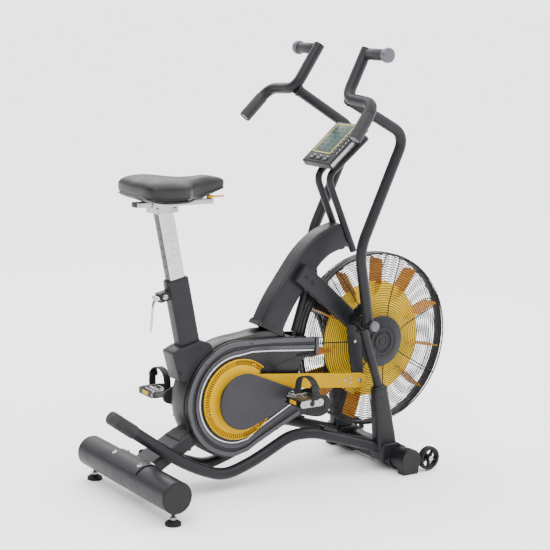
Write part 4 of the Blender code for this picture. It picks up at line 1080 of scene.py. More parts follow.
def makeSeatPost():
    top, low = tubeTop + seatAxis * 0.218, tubeTop - seatAxis * 0.12
    post = skin("seatPost", [boxRing(p, seatAcross, sideways, 0.054, 0.036, 0.0075, 8)
                             for p in (low, low + seatAxis * 0.1, top - seatAxis * 0.05, top)])
    show(post, "post", "chrome", "seat_post")
    # a darker steel sheet over the post's rear face: painted shade and dark reflection on that face
    rear = seatAcross * 0.0269
    strip = boxBeam("seatPostShadeStrip", [low + seatAxis * 0.004 - rear, top - seatAxis * 0.002 - rear],
                    (0.0004, 0.0004), (0.029, 0.029), 0.0001)
    show(strip, "post", "postRearShadeSteel")
    # black discs stand in for the adjustment holes: painted shade of the openings
    holes = []
    for k in range(9):
        p = top - seatAxis * (0.05 + 0.03 * k) - seatAcross * 0.0269
        holes.append(rod("h", p, p - seatAcross * 0.00035, 0.0046, 24))
    show(merged("seatPostHoleShade", holes), "post", "blackPlastic")
    # height marks stamped along the post's side: short bars, no figures
    marks = []
    for k in range(6):
        p = tubeTop + seatAxis * (0.03 + 0.024 * k)
        for s in (-1, 1):
            marks.append(boxBeam("m", [p + sideways * s * 0.01795 - seatAcross * 0.004,
                                       p + sideways * s * 0.01795 + seatAcross * 0.004], (0.0014, 0.0014),
                                 (0.0003, 0.0003), 0.0001))
    show(merged("seatPostMarks", marks), "post", "blackPlastic")
    outline = [(-0.023, 0.898), (0.023, 0.898), (0.023, 0.93), (0.0158, 0.93), (0.0158, 0.9165),
               (-0.0158, 0.9165), (-0.0158, 0.93), (-0.023, 0.93)]
    track = skin("slideTrack", [[at(x, y, z) for y, z in outline] for x in (0.05, 0.138)], 30)
    show(soften(track, 0.0015, 3), "post", "satinAlloy")
    screws = [boltHead("s", at(x, s * 0.023, 0.91), (0, s, 0), 0.0056, 0.0032) for x in (0.064, 0.124)
              for s in (-1, 1)]
    show(merged("trackScrews", screws), "post", "chrome")


def makeSlide():
    bar = brick("slideBar", at(-0.002, -0.0155, 0.917), at(0.268, 0.0155, 0.933), 0.0022, 4)
    show(bar, "saddle_slide", "satinAlloy", "slide_bar")
    endPlug = brick("slidePlug", at(-0.0045, -0.015, 0.9176), at(-0.0015, 0.015, 0.9324), 0.0012)
    show(endPlug, "saddle_slide", "blackPlastic")
    hinge = at(0.2615, 0, 0.9382)
    disc = lathe("slideLeverBoss", [(0, -0.0045), (0.0095, -0.0045), (0.0105, -0.0036), (0.0105, 0.0036),
                                    (0.0095, 0.0045), (0, 0.0045)], origin, 48)
    disc.data.transform(Matrix.Translation(hinge) @ Matrix.Rotation(pi / 2, 4, "X"))
    show(disc, "slide_lever", "amberPlastic", "slide_lever")
    rings = []
    for d, half, thick, drop in ((0.004, 0.006, 0.0032, 0), (0.014, 0.0048, 0.003, -0.0002),
                                 (0.03, 0.0056, 0.003, -0.0006), (0.044, 0.0068, 0.003, -0.0004),
                                 (0.0495, 0.0064, 0.0027, 0), (0.052, 0.004, 0.0016, 0)):
        centre = hinge + Vector((d, 0, -0.0002 + drop))
        rings.append([centre + Vector((0, half * cos(t), thick * sin(t))) for t in turns(20)])
    show(skin("slideLeverBlade", rings, 60), "slide_lever", "amberPlastic")
    pin = boltHead("slideLeverPin", hinge + Vector((0, 0, 0.004)), (0, 0, 1), 0.0045, 0.0016, "socket")
    show(pin, "saddle_slide", "steel")


saddleShape = {
    # x, half width, top, underside
    "rows": [(-0.0118, 0.072, 0.987, 0.9615), (-0.0092, 0.092, 0.994, 0.952), (-0.002, 0.107, 1.001, 0.945),
             (0.016, 0.1185, 1.007, 0.939), (0.045, 0.123, 1.009, 0.9345), (0.08, 0.1235, 1.007, 0.9338),
             (0.108, 0.1215, 1.0035, 0.9338), (0.13, 0.1125, 1.001, 0.9338), (0.148, 0.0935, 0.9995, 0.9338),
             (0.166, 0.071, 0.999, 0.9338), (0.187, 0.054, 0.9995, 0.9342), (0.212, 0.044, 1.0015, 0.937),
             (0.238, 0.0405, 1.0035, 0.9465), (0.266, 0.0365, 1.003, 0.955), (0.288, 0.031, 1.0, 0.962),
             (0.299, 0.023, 0.995, 0.968), (0.3035, 0.015, 0.9905, 0.973)],
    "ring": 44, "voxel": 0.0038, "pressure": 2.0, "cap": 0.0025,
}


def smoothRows(rows, count):
    out = []
    n = len(rows)
    for i in range(count):
        u = i / (count - 1) * (n - 1)
        k = min(int(u), n - 2)
        t = u - k
        four = rows[max(k - 1, 0)], rows[k], rows[k + 1], rows[min(k + 2, n - 1)]
        row = []
        for p, q, r, w in zip(*four):  # a smooth curve through the rows
            row.append(0.5 * (2 * q + (r - p) * t + (2 * p - 5 * q + 4 * r - w) * t ** 2
                              + (3 * q - p - 3 * r + w) * t ** 3))
        out.append(row)
    return out


def saddleRing(x, half, top, low, count):
    shoulder = low + (top - low) * 0.6
    ring = []
    for a in turns(count):
        c, q = cos(a), sin(a)
        if q >= 0:
            y = half * abs(c) ** 0.62 * (1 if c >= 0 else -1)
            rise = abs(q) ** 0.85
            z = shoulder + (top - shoulder) * rise
            # shallow pressure-relief channel down the middle
            z -= 0.0026 * rise * max(0.0, 1 - (y / 0.016) ** 2) * min(1.0, max(0.0, (x + 0.01) / 0.03))
        else:  # upright skirt with a tight lower edge
            y = half * abs(c) ** 0.26 * (1 if c >= 0 else -1)
            y *= 1 - 0.035 * abs(q)
            z = shoulder - (shoulder - low) * abs(q) ** 0.8
        ring.append(at(x, y, z))
    return ring


def makeSaddle(shape):
    rows = smoothRows(shape["rows"], 46)
    seat = skin("saddleCover", [saddleRing(x, h, t, b, shape["ring"]) for x, h, t, b in rows], 70)
    remesh = seat.modifiers.new("voxels", "REMESH")
    remesh.mode = "VOXEL"
    remesh.voxel_size = shape["voxel"]
    bake(seat)
    rest = [v.co.copy() for v in seat.data.vertices]
    seat.modifiers.new("puff", "CLOTH")
    cloth = seat.modifiers["puff"].settings
    cloth.quality = 5
    cloth.mass = 0.3
    cloth.tension_stiffness = 25
    cloth.compression_stiffness = 25
    cloth.bending_stiffness = 2
    cloth.use_pressure = True
    cloth.uniform_pressure_force = shape["pressure"]
    cloth.effector_weights.gravity = 0
    scene = bpy.context.scene
    for step in range(1, 21):
        scene.frame_set(step)
    bake(seat)
    scene.frame_set(1)
    for v, home in zip(seat.data.vertices, rest):
        moved = v.co - home
        if moved.length > shape["cap"]:
            v.co = home + moved.normalized() * shape["cap"]
    ceiling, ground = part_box("saddle")[1].z + 0.001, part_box("saddle")[0].z + 0.0008
    for v in seat.data.vertices:
        v.co.z = max(min(v.co.z, ceiling), ground)
    relax = seat.modifiers.new("relax", "SMOOTH")
    relax.factor = 0.5
    relax.iterations = 4
    fine = seat.modifiers.new("fine", "SUBSURF")
    fine.levels = fine.render_levels = 1
    bake(seat)
    seat.data.shade_smooth()
    show(seat, "saddle_slide", "saddleSkin", "saddle")
    # moulded base pan under the cover, and the welt where cover and pan meet
    pan = []
    for x, half, top, low in smoothRows(shape["rows"], 40)[1:-1]:
        ring = []
        inner = max(half - 0.012, 0.005)
        for a in turns(24):
            c, q = cos(a), sin(a)
            ring.append(at(x, inner * abs(c) ** 0.5 * (1 if c >= 0 else -1), low + 0.0035 + 0.0035 * q))
        pan.append(ring)
    base = skin("saddlePan", pan, 60)
    show(base, "saddle_slide", "blackPlastic")
    welt = []
    for x, half, top, low in smoothRows(shape["rows"], 40):
        if -0.003 < x < 0.296:
            welt.append((x, half * 0.982, low + (top - low) * 0.12))
    outline = [at(x, -h, z) for x, h, z in welt] + [at(x, h, z) for x, h, z in reversed(welt)]
    mesh = sweep(outline, 0.0017, 3, closed=True)
    mesh.shade_smooth()
    seam = bpy.data.objects.new("saddleWelt", mesh)
    bpy.context.scene.collection.objects.link(seam)
    show(seam, "saddle_slide", "saddleSkin")
    cradle = brick("saddleCradle", at(0.04, -0.02, 0.9334), at(0.205, 0.02, 0.94), 0.0015)
    show(cradle, "saddle_slide", "blackPlastic")


makeSeatTube()
makeClamp()
makeSeatPost()
makeSlide()
makeSaddle(saddleShape)
print("seat done")

# cranks and pedals
pedalSettings = {"inner": 0.118, "outer": 0.208, "long": 0.045}


def makeCranks():
    y = 0.0817
    axle = lathe("crankAxle", [(0, -y), (0.0115, -y), (0.0125, -y + 0.001), (0.0125, y - 0.001),
                               (0.0115, y), (0, y)], at(crank["x"], 0, crank["z"]), 48)
    show(axle, "crank", "steel", "crank_shaft")
    for side, s in sidesOf:
        tip = (crank["x"] - s * crank["length"], crank["z"])
        flare = 67.4
        if s < 0:
            drum, nose = (flare, 360 - flare), (-flare, flare)
        else:
            drum, nose = (flare - 180, 180 - flare), (180 - flare, 180 + flare)
        outline = arc(crankAt, 0.0906, *drum, 110) + arc(tip, 0.0235, *nose, 30)
        cover = sheetOf("crankCover_" + side, outline, s * 0.082, s * 0.0905)
        show(soften(cover, 0.0032, 5), "crank", "coverPlastic", "crank_cover_" + side)
        place = at(tip[0], s * 0.0903, tip[1])
        show(lathe("crankBoss_" + side, [(0, 0.0905), (0.0148, 0.0905), (0.0148, 0.0922), (0.0135, 0.093),
                   (0, 0.093)], at(tip[0], 0, tip[1]), side=s), "crank", "steel")
        show(boltHead("crankNut_" + side, place + sideStep(s * 0.0026), (0, s, 0), 0.01, 0.004, "hex"),
             "crank", "steel")


def makePedals(p):
    for side, s in sidesOf:
        body = "pedal_" + side
        px = crank["x"] - s * crank["length"]
        centre = at(px, 0, crank["z"])
        inner, outer, long = p["inner"], p["outer"], p["long"]
        spindle = lathe("pedalSpindle_" + side, [(0, 0.0925), (0.007, 0.0925), (0.0082, 0.0935),
                        (0.0082, 0.101), (0.007, 0.102), (0.0062, 0.118), (0.0062, 0.204), (0, 0.204)],
                        centre, 40, side=s)
        show(spindle, body, "chrome", body)
        barrel = lathe("pedalBarrel_" + side, [(0.0063, 0.1195), (0.0098, 0.1195), (0.011, 0.121),
                       (0.0112, 0.14), (0.0088, 0.15), (0.0088, 0.176), (0.0112, 0.186),
                       (0.011, 0.201), (0.0095, 0.2025), (0.0063, 0.2025)], centre, 48, side=s)
        show(barrel, body, "satinAlloy")
        ends = []
        for w in (inner + 0.003, outer - 0.003):
            outline = arc((px - long + 0.012, crank["z"]), 0.0118, 90, 270, 16)
            outline += arc((px + long - 0.012, crank["z"]), 0.0118, -90, 90, 16)
            ends.append(bake(soften(sheetOf("e", outline, s * (w - 0.0028), s * (w + 0.0028)), 0.001, 2)))
        show(merged("pedalEnds_" + side, ends), body, "satinAlloy")
        cage = []
        for k in (-1, 1):
            x = px + k * (long - 0.0026)
            profile = []
            teeth = 11
            span = outer - inner - 0.004
            for i in range(teeth * 2 + 1):
                y = inner + 0.002 + span * i / (teeth * 2)
                profile.append((y, 0.0118 if i % 2 else 0.0088))
            loop = profile + [(y, -z) for y, z in reversed(profile)]
            cage.append(skin("t", [[at(x + d, s * y, crank["z"] + z) for y, z in loop]
                                   for d in (-0.0013, 0.0013)], 25))
            lamp = brick("l", at(x + k * 0.0012 - 0.0012, s * 0.146, crank["z"] - 0.0062),
                         at(x + k * 0.0012 + 0.0012, s * 0.18, crank["z"] + 0.0062), 0.0008)
            show(lamp, body, "amberPlastic").name = "pedalReflector_%s_%d" % (side, k + 1)
        show(merged("pedalCage_" + side, cage), body, "blackPlastic")
        bars = [rod("b", at(px + k * 0.0235, s * (inner + 0.004), crank["z"] + 0.004),
                    at(px + k * 0.0235, s * (outer - 0.004), crank["z"] + 0.004), 0.0038, 20)
                for k in (-1, 1)]
        show(merged("pedalBars_" + side, bars), body, "satinAlloy")
        screws = [boltHead("s", at(px + k * 0.03, s * (outer - 0.0002), crank["z"]), (0, s, 0), 0.0032,
                           0.0014, "socket") for k in (-1, 1)]
        show(merged("pedalScrews_" + side, screws), body, "steel")
        cap = lathe("pedalDustCap_" + side, [(0, 0.207), (0.0092, 0.207), (0.0092, 0.209), (0.007, 0.2104),
                    (0, 0.2108)], centre, 40, side=s)
        show(cap, body, "blackPlastic")
        # toe strap: a band looped over the foot, through slots in both pedal ends, and its buckle
        loop = [(0.1165, 0.0092), (0.1142, 0.03), (0.122, 0.0595), (0.1425, 0.0735), (0.1634, 0.0762),
                (0.1835, 0.0735), (0.204, 0.0595), (0.2118, 0.03), (0.2097, 0.0092)]
        course = [tuple(Vector((px + 0.009, s * y, crank["z"] + z))) for y, z in loop]
        fine = [Vector(p) for p in smoothRows(course, 60)]
        rings = []
        for i, point in enumerate(fine):
            ahead = (fine[min(i + 1, 59)] - fine[max(i - 1, 0)]).normalized()
            up = Vector((1, 0, 0)).cross(ahead).normalized()
            rings.append([Vector((rearX, 0, 0)) + point + Vector((u * 0.0125, 0, 0)) + up * v * 0.001
                          for u, v in ((-1, -0.6), (-0.96, -1), (0.96, -1), (1, -0.6), (1, 0.6),
                                       (0.96, 1), (-0.96, 1), (-1, 0.6))])
        show(skin("toeStrap_" + side, rings, 40), body, "webbing", "pedal_strap_" + side)
        buckle = brick("toeBuckle_" + side, at(px - 0.0055, s * 0.2005, crank["z"] + 0.04),
                       at(px + 0.0235, s * 0.211, crank["z"] + 0.056), 0.0016)
        show(buckle, body, "blackPlastic")


makeCranks()
makePedals(pedalSettings)
print("cranks and pedals done")


# fan and its wire cage
def makeFan(f):
    hub = at(f["x"], 0, f["z"])
    face = [(0.0125, 0.03), (0.03, 0.03), (0.034, 0.027), (0.036, 0.006), (0.06, 0.0045), (0.064, 0.002)]
    face += [(0.12, 0.002), (0.123, 0.0036), (0.131, 0.0036), (0.134, 0.002), (f["discR"] - 0.003, 0.002)]
    profile = [(r, -y) for r, y in face] + [(f["discR"], 0)] + list(reversed(face))
    show(lathe("fanDisc", profile, hub, 128), "fan", "discPaintBrightened", "fan_wheel")
    blades, feet, rivets = [], [], []
    for i in range(f["paddles"]):
        lift = radians(f["paddleStart"]) + 2 * pi * i / f["paddles"]
        turn = Matrix.Translation(hub) @ Matrix.Rotation(-lift, 4, "Y")
        bm = bmesh.new()
        rows = []
        low, high, half = f["discR"] - 0.01, f["paddleR"], f["paddleHalf"]
        for u, wide, curl in ((low, half * 0.9, 0.0), (low + 0.005, half, 0.0), (0.215, half, 0.0004),
                              (0.235, half, 0.001), (0.255, half, 0.0016), (high - 0.006, half, 0.002),
                              (high - 0.0015, half * 0.93, 0.002), (high, half * 0.84, 0.002)):
            row = []
            for k in range(7):
                row.append(bm.verts.new(turn @ Vector((u, wide * (k / 3 - 1), curl))))
            rows.append(row)
        bridge(bm, rows, ring=False)
        blade = toObject("b", bm, 60)
        shell = blade.modifiers.new("thick", "SOLIDIFY")
        shell.thickness = 0.0022
        shell.offset = 0
        blades.append(soften(blade, 0.0006, 2))
        for s in (-1, 1):
            # each paddle stands on an angle bracket riveted to the disc
            foot = brick("f", (0.15, s * 0.002, -0.011),
                         (f["discR"] - 0.002, s * 0.0036, 0.011), 0.0008)
            foot.data.transform(turn)
            feet.append(foot)
            tip = f["discR"] - 0.008
            wing = [(0.15, 0.002), (0.15, 0.006), (0.168, 0.024), (tip, f["paddleHalf"] * 0.92),
                    (tip, 0.002)]
            rings = [[turn @ Vector((u, s * w, d)) for u, w in wing] for d in (-0.001, 0.001)]
            feet.append(soften(skin("w", rings, 30), 0.0005, 2))
            for u in (0.16, 0.184):
                place = turn @ Vector((u, s * 0.0036, -0.0065))
                rivets.append(boltHead("s", place, (0, s, 0), 0.0036, 0.0018, "dome"))
    show(merged("fanPaddles", blades), "fan", "paddlePaint")
    show(merged("fanPaddleFeet", feet), "fan", "discPaintBrightened")
    show(merged("fanRivets", rivets), "fan", "satinAlloy")
    axle = lathe("fanAxle", [(0, -0.0598), (0.0098, -0.0598), (0.011, -0.0585), (0.011, 0.0585),
                             (0.0098, 0.0598), (0, 0.0598)], hub, 48)
    show(axle, "frame", "steel", "fan_axle")


def makeCage(f):
    hub = at(f["x"], 0, f["z"])
    # radius and distance from the middle plane of each wire, from the hub plate out and round the shoulder
    dome = [(0.09, 0.0552), (0.101, 0.052), (0.114, 0.0484), (0.129, 0.0453), (0.26, 0.0403),
            (0.279, 0.0392)]
    dome += [(0.287, 0.0362), (0.2915, 0.031), (0.2932, 0.0245), (0.2938, 0.0185)]
    lengths = [0.0]
    for a, b in zip(dome, dome[1:]):
        lengths.append(lengths[-1] + sqrt((b[0] - a[0]) ** 2 + (b[1] - a[1]) ** 2))

    def onDome(share):
        d = share * lengths[-1]
        k = 0
        while k < len(dome) - 2 and lengths[k + 1] < d:
            k += 1
        u = (d - lengths[k]) / (lengths[k + 1] - lengths[k])
        (r, y), (nextR, nextY) = dome[k], dome[k + 1]
        return r + (nextR - r) * u, y + (nextY - y) * u

    for side, s in sidesOf:
        rings = bmesh.new()
        for i in range(f["rings"]):
            r, y = onDome(i / (f["rings"] - 1))
            ringWire(rings, hub, r, s * y, f["wire"], 128, 6)
        wires = toObject("cageRings_" + side, rings, 80)
        show(wires, "frame", "cagePaint", "fan_cage_" + side)
        spokes = []
        for i in range(f["spokes"]):
            a = radians(f["spokeStart"]) + 2 * pi * i / f["spokes"]
            c, q = cos(a), sin(a)
            path = [hub + Vector((0.074 * c, s * 0.053, 0.074 * q))]
            for r, y in dome:
                drop = 0.002
                path.append(hub + Vector(((r - drop * 0.6 * (r > 0.28)) * c, s * (y - drop),
                                          (r - drop * 0.6 * (r > 0.28)) * q)))
            path.append(hub + Vector((0.2925 * c, s * 0.008, 0.2925 * q)))
            spokes.append(tube("s", path, 0.0018, 0.004, 3, 5))
        show(merged("cageSpokes_" + side, spokes), "frame", "cagePaint")
        # rolled rim in two halves that meet at the middle
        rim = lathe("cageRim_" + side, [(0.2886, 0.0008), (0.2948, 0.0008), (0.2955, 0.0018),
                    (0.2955, 0.015), (0.2948, 0.0166), (0.2928, 0.0172), (0.29, 0.0166),
                    (0.289, 0.015)], hub, 160, 35, side=s)
        show(rim, "frame", "cagePaint")
        clips = []
        for i in range(f["spokes"]):
            a = radians(f["spokeStart"] + 180 / f["spokes"]) + 2 * pi * i / f["spokes"]
            turn = Matrix.Translation(hub) @ Matrix.Rotation(-a, 4, "Y")
            clip = brick("k", (0.2868, s * 0.0006, -0.008),
                         (0.2956, s * 0.012, 0.008), 0.0012)
            clip.data.transform(turn)
            clips.append(clip)
        show(merged("cageClips_" + side, clips), "frame", "cagePaint")
        plate = lathe("cageHub_" + side, [(0.0113, 0.0525), (0.0113, 0.059), (0.0175, 0.0594),
                      (0.0188, 0.0608), (0.0232, 0.0614), (0.0276, 0.0608), (0.029, 0.058),
                      (0.033, 0.0566), (0.037, 0.058), (0.0384, 0.0606), (0.043, 0.0613),
                      (0.0476, 0.0606), (0.049, 0.0576), (0.052, 0.0566), (0.0556, 0.0576),
                      (0.057, 0.0592), (0.06, 0.059), (0.085, 0.0566), (0.0866, 0.0554),
                      (0.0866, 0.0526)], hub, 120, 35, side=s)
        show(plate, "frame", "charcoalPaint")
        # black sheets stand in for the slots in the hub plate: painted shade of the openings
        slots = []
        for i in range(12):
            a0 = 360 / 12 * i
            if i % 3 == 2:
                continue
            for low, high in ((0.0312, 0.035), (0.0502, 0.054)):
                outline = arc((f["x"], f["z"]), high, a0 + 3, a0 + 25, 10)
                outline += arc((f["x"], f["z"]), low, a0 + 25, a0 + 3, 10)
                slots.append(sheetOf("l", outline, s * 0.055, s * 0.0582))
        show(merged("cageHubSlotShade_" + side, slots), "frame", "blackPlastic")
        show(boltHead("fanAxleNut_" + side, hub + sideStep(s * 0.056), (0, s, 0), 0.0125, 0.0054, "hex"),
             "frame", "blackPlastic")


makeFan(fanSettings)
makeCage(fanSettings)
print("fan and cage done")

# swinging arms, rockers and rods
armSettings = {"y": 0.1518, "armR": 0.0176, "barR": 0.0186, "gripR": 0.0204, "rocker": 0.207,
               "rockerLean": 8.0, "leftLead": 4.65, "rodThrow": 0.063}


def makeArms(g):
    for side, s in sidesOf:
        body = "arm_" + side
        px, pz = pivot["x"], pivot["z"]
        hub = at(px, 0, pz)
        lead = 0.0 if s < 0 else radians(g["leftLead"])
        spin = Matrix.Translation(hub) @ Matrix.Rotation(lead, 4, "Y") @ Matrix.Translation(-hub)

        def put(obj, look, *standsFor):
            obj.data.transform(spin)
            return show(obj, body, look, *standsFor)

        foot = at(px, s * g["y"], pz)
        knee, elbow = at(0.735, s * 0.1508, 0.756), at(0.886, s * 0.17, 1.125)
        fork = at(0.638, s * 0.183, 1.247)
        put(tube("handleArm_" + side, [foot, knee, elbow, fork - (fork - elbow).normalized() * 0.006],
                 g["armR"], 0.055, 12, 18), "charcoalPaint", "handle_arm_" + side)
        pegTube = lathe("footPeg_" + side, [(0, 0.1347), (0.0158, 0.1347), (0.0168, 0.1357),
                                            (0.0168, 0.1795), (0.0158, 0.1805), (0, 0.1805)], hub, 64,
                        side=s)
        put(pegTube, "charcoalPaint")
        pegCap = lathe("footPegCap_" + side, [(0, 0.18), (0.017, 0.18), (0.017, 0.185), (0.016, 0.1888),
                       (0.013, 0.19), (0, 0.1902)], hub, 64, side=s)
        put(pegCap, "endCapGrey")
        shaft = lathe("armShaft_" + side, [(0, 0.052), (0.01, 0.052), (0.011, 0.053), (0.011, 0.16),
                      (0, 0.16)], hub, 48, side=s)
        put(shaft, "steel")
        sleeve = lathe("armSleeve_" + side, [(0.0105, 0.071), (0.016, 0.071), (0.017, 0.072),
                                             (0.017, 0.1025), (0.016, 0.1033), (0.0105, 0.1033)], hub, 64,
                       side=s)
        put(sleeve, "charcoalPaint")
        web = [(0.142, 0.0255), (0.145, 0.09), (0.138, 0.088), (0.074, 0.036), (0.074, 0.01),
               (0.1015, 0.01), (0.1015, 0.0255)]
        plate = skin("armWeb_" + side, [[at(px + d, s * y, pz + z) for y, z in web]
                                        for d in (-0.004, 0.004)], 30)
        put(soften(plate, 0.0012, 2), "charcoalPaint")
        put(boltHead("armWebBolt_" + side, at(px - 0.004, s * 0.128, pz + 0.054), (-1, 0, 0), 0.0062,
                     0.003, "socket"), "blackPlastic")

        top, outer = at(0.7152, s * 0.177, 1.3964), at(0.635, s * 0.3286, 1.238)
        end = at(0.556, s * 0.3426, 1.137)
        put(tube("handlebar_" + side, [top, fork, outer, end], g["barR"], 0.042, 12, 18), "charcoalPaint",
            "handlebar_" + side)
        up = (top - fork).normalized()
        plug = lathe("barTopPlug_" + side, [(0, 0), (0.0184, 0), (0.0184, 0.0008), (0.0172, 0.002),
                                            (0.0125, 0.0028), (0, 0.003)], origin, 48)
        plug.data.transform(aimed(top, up, "Y", "Z"))
        put(plug, "blackPlastic")
        peg = at(0.7105, s * 0.177, 1.383)
        horn = lathe("hornBar_" + side, [(0, 0), (0.0165, 0), (0.0165, 0.104), (0, 0.104)], origin, 56)
        sleeveGrip = [(0.0166, 0.0188), (0.0176, 0.0192), (0.0182, 0.0205), (0.0182, 0.099),
                      (0.0176, 0.1002), (0.0166, 0.1006)]
        gripSleeve = lathe("hornGrip_" + side, sleeveGrip, origin, 64, 40)
        knob = lathe("hornEnd_" + side, [(0, 0.1), (0.018, 0.1005), (0.0222, 0.103), (0.0235, 0.107),
                                         (0.0235, 0.115), (0.0226, 0.1192), (0.0205, 0.1212),
                                         (0.017, 0.1218), (0.016, 0.1208), (0, 0.1206)], origin, 64)
        placeHorn = Matrix.Translation(peg)
        if s < 0:
            placeHorn = placeHorn @ Matrix.Rotation(pi, 4, "Z")
        for piece, look in ((horn, "charcoalPaint"), (gripSleeve, "foamRubber"), (knob, "endCapGrey")):
            piece.data.transform(placeHorn)
            put(piece, look)
        gripWay = (end - outer).normalized()
        start = outer + gripWay * 0.04
        gr = g["gripR"]
        profile = [(0.0187, 0), (gr - 0.0009, 0.0003), (gr - 0.0001, 0.0016), (gr, 0.004), (gr, 0.09),
                   (gr - 0.0004, 0.0925), (gr - 0.0012, 0.0938), (0.0187, 0.094)]
        rubber = lathe("barGrip_" + side, profile, origin, 72, 50)
        rubber.data.transform(aimed(start, gripWay, "Y", "Z"))
        put(rubber, "foamRubber", "bar_grip_" + side)
        stop = lathe("barEndPlug_" + side, [(0, 0.0), (0.019, 0.0), (0.0192, 0.001), (0.0186, 0.0026),
                                            (0.015, 0.0036), (0, 0.004)], origin, 56)
        stop.data.transform(aimed(end - gripWay * 0.001, gripWay, "Y", "Z"))
        put(stop, "endCapGrey")
        bead = weldBead("weldFork_" + side, fork - (fork - elbow).normalized() * 0.018, fork - elbow,
                        g["armR"] + 0.0003, 0.0022, body)
        bead.data.transform(spin)

        lean = radians(g["rockerLean"])
        pin = at(px + g["rocker"] * sin(lean), 0, pz - g["rocker"] * cos(lean))
        along = (pin - hub).normalized()
        heading = atan2(along.z, along.x) * 180 / pi
        outline = arc((px, pz), 0.027, heading + 90, heading + 270, 40)
        outline += arc((pin.x - rearX, pin.z), 0.023, heading - 90, heading + 90, 40)
        put(soften(sheetOf("rocker_" + side, outline, s * 0.0641, s * 0.0701), 0.0012, 3),
            "charcoalPaint", "rocker_" + side)
        put(boltHead("rockerBolt_" + side, hub + along * 0.074 + sideStep(s * 0.0701), (0, s, 0), 0.0054,
                     0.0034), "chrome")

        pinNow = spin @ pin
        rear = at(crank["x"], 0, crank["z"] - s * g["rodThrow"])
        line = (rear - pinNow).normalized()
        heading = atan2(line.z, line.x) * 180 / pi
        rodBody = "rod_" + side
        outline = arc((pinNow.x - rearX, pinNow.z), 0.0245, heading + 90, heading + 270, 40)
        outline += arc((rear.x - rearX, rear.z), 0.0235, heading - 90, heading + 90, 40)
        bar = sheetOf("linkRod_" + side, outline, s * 0.0716, s * 0.0795)
        hole = rod("c", rear + sideStep(s * 0.06), rear + sideStep(s * 0.09), 0.01, 48)
        bar = carve(bar, hole)
        show(bake(soften(bar, 0.0012, 3)), rodBody, "amberPaint", "link_rod_" + side)
        upLine = Vector((-line.z, 0, line.x))
        heads, sinks = [], []
        for d, h, r in ((0.0, 0.0, 0.0078), (0.062, 0.0, 0.0048), (0.04, 0.0085, 0.004),
                        (0.04, -0.0085, 0.004)):
            place = pinNow + line * d + upLine * h + sideStep(s * 0.0795)
            washer = lathe("k", [(0, 0), (r * 1.3, 0), (r * 1.3, 0.0004), (0, 0.0004)], origin, 40)
            washer.data.transform(Matrix.Translation(place) @ Matrix.Rotation(0 if s > 0 else pi, 4, "Z"))
            sinks.append(washer)
            heads.append(boltHead("h", place + sideStep(s * 0.0003), (0, s, 0), r, 0.0016, "socket"))
        show(merged("rodBolts_" + side, heads), rodBody, "steel")
        show(merged("rodWashers_" + side, sinks), rodBody, "amberPaint")
        groove = []
        for h in (-0.013, 0.013):
            groove.append(boxBeam("g", [pinNow + line * 0.085 + upLine * h + sideStep(s * 0.0795),
                                        pinNow + line * 0.3 + upLine * h + sideStep(s * 0.0795)],
                                  (0.0016, 0.0016), (0.0009, 0.0009), 0.0003))
        show(merged("rodRibs_" + side, groove), rodBody, "amberPaint")


makeArms(armSettings)
print("arms done")

# console
consoleSize = {"long": 0.093, "wide": 0.076, "thick": 0.014}


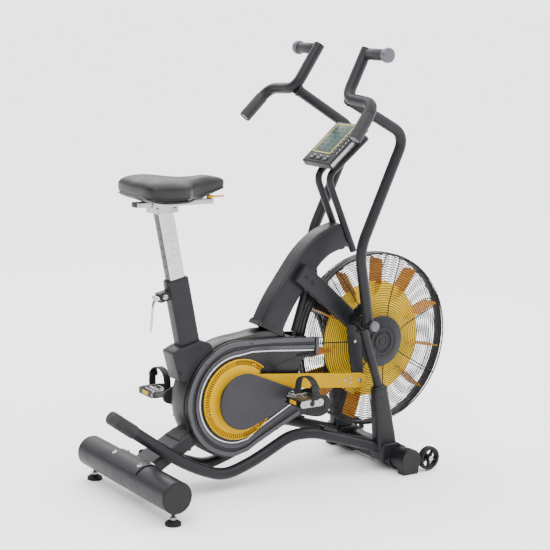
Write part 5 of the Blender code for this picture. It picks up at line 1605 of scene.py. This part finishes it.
def makeConsole(c):
    turn = Matrix.Translation(consoleMiddle) @ Matrix(
        ((faceAlong.x, 0, faceUp.x), (0, 1, 0), (faceAlong.z, 0, faceUp.z))
    ).to_4x4()

    def put(obj, look, *standsFor):
        obj.data.transform(turn)
        return show(obj, "console", look, *standsFor)

    a, b, t = c["long"], c["wide"], c["thick"]
    case = brick("consoleCase", (-a, -b, -t), (a, b, t - 0.0012), 0.0055, 5)
    wells = []
    for i in range(3):
        y = (i - 1) * 0.036
        wells.append(brick("w", (-0.0823, y - 0.0125, 0.0095), (-0.0657, y + 0.0125, 0.03), 0.0))
    put(carve(case, *wells), "blackPlastic", "console")
    put(brick("consoleTrimSide", (-a + 0.004, -b - 0.0004, -0.0065), (a - 0.004, -b + 0.001, 0.006),
              0.0008), "satinAlloy")
    put(brick("consoleTrimFar", (-a + 0.004, b - 0.001, -0.0042), (a - 0.004, b + 0.0004, 0.0036),
              0.0008), "satinAlloy")
    face = t - 0.0012
    # the window and its yellow border, raised a little above it
    put(brick("consoleWindow", (-0.044, -0.03, face - 0.001), (0.078, 0.056, face + 0.0006), 0.0004),
        "screenGlass")
    border = []
    for low, high in (((-0.049, -0.035), (-0.047, 0.061)), ((0.081, -0.035), (0.083, 0.061)),
                      ((-0.049, 0.059), (0.083, 0.061)), ((-0.049, -0.035), (0.083, -0.033))):
        border.append(brick("b", (low[0], low[1], face - 0.0004), (high[0], high[1], face + 0.0009),
                            0.0003))
    put(merged("consoleBorder", border), "borderYellow")
    cells = []
    for i in range(6):
        x = -0.036 + i * 0.019
        for y, wide in ((-0.02, 0.01), (0.006, 0.0135), (0.034, 0.0135)):
            cells.append(brick("c", (x, y, face + 0.0003), (x + 0.0016, y + wide, face + 0.0009), 0))
            cells.append(brick("c", (x + 0.005, y, face + 0.0003), (x + 0.0062, y + wide * 0.8,
                                                                    face + 0.0009), 0))
    put(merged("consoleSegments", cells), "segmentInk")
    # printed dots beside the window, and the round pads of the side column
    pads, dots = [], []
    for i in range(9):
        x = -0.046 + i * 0.015
        pads.append(brick("p", (x, -0.057, face - 0.0004), (x + 0.009, -0.046, face + 0.0012), 0.0012))
        dots.append(brick("d", (x + 0.0015, -0.067, face - 0.0002), (x + 0.006, -0.064, face + 0.0004),
                          0.0))
        dots.append(brick("d", (x + 0.0015, -0.043, face - 0.0002), (x + 0.0075, -0.0415, face + 0.0004),
                          0.0))
    for i in range(3):
        y = (i - 1) * 0.036
        dots.append(brick("d", (-0.062, y - 0.006, face - 0.0002), (-0.06, y + 0.006, face + 0.0004), 0.0))
    put(merged("consolePads", pads), "coverPlastic")
    put(merged("consolePrint", dots), "printWhite")
    hingeBoss = rod("consoleBoss", consoleHinge - sideStep(0.01), consoleHinge + sideStep(0.01), 0.0085)
    show(hingeBoss, "console", "blackPlastic")
    put(brick("consoleEar", (0.08, -0.01, -0.026), (0.0945, 0.01, -0.012), 0.001), "blackPlastic")
    for i, name in enumerate(("right", "middle", "left")):
        y = (i - 1) * 0.036
        key = brick("consoleKey_" + name, (-0.0815, y - 0.0118, 0.011), (-0.0665, y + 0.0118, 0.016),
                    0.0018, 4)
        key.data.transform(turn)
        show(key, "key_" + name, "coverPlastic", "console_key_" + name)
        mark = brick("consoleKeyMark_" + name, (-0.075, y - 0.005, 0.0158), (-0.0735, y + 0.005, 0.0163),
                     0.0)
        mark.data.transform(turn)
        show(mark, "key_" + name, "printWhite")


makeConsole(consoleSize)
print("console done")

bpy.context.view_layer.update()
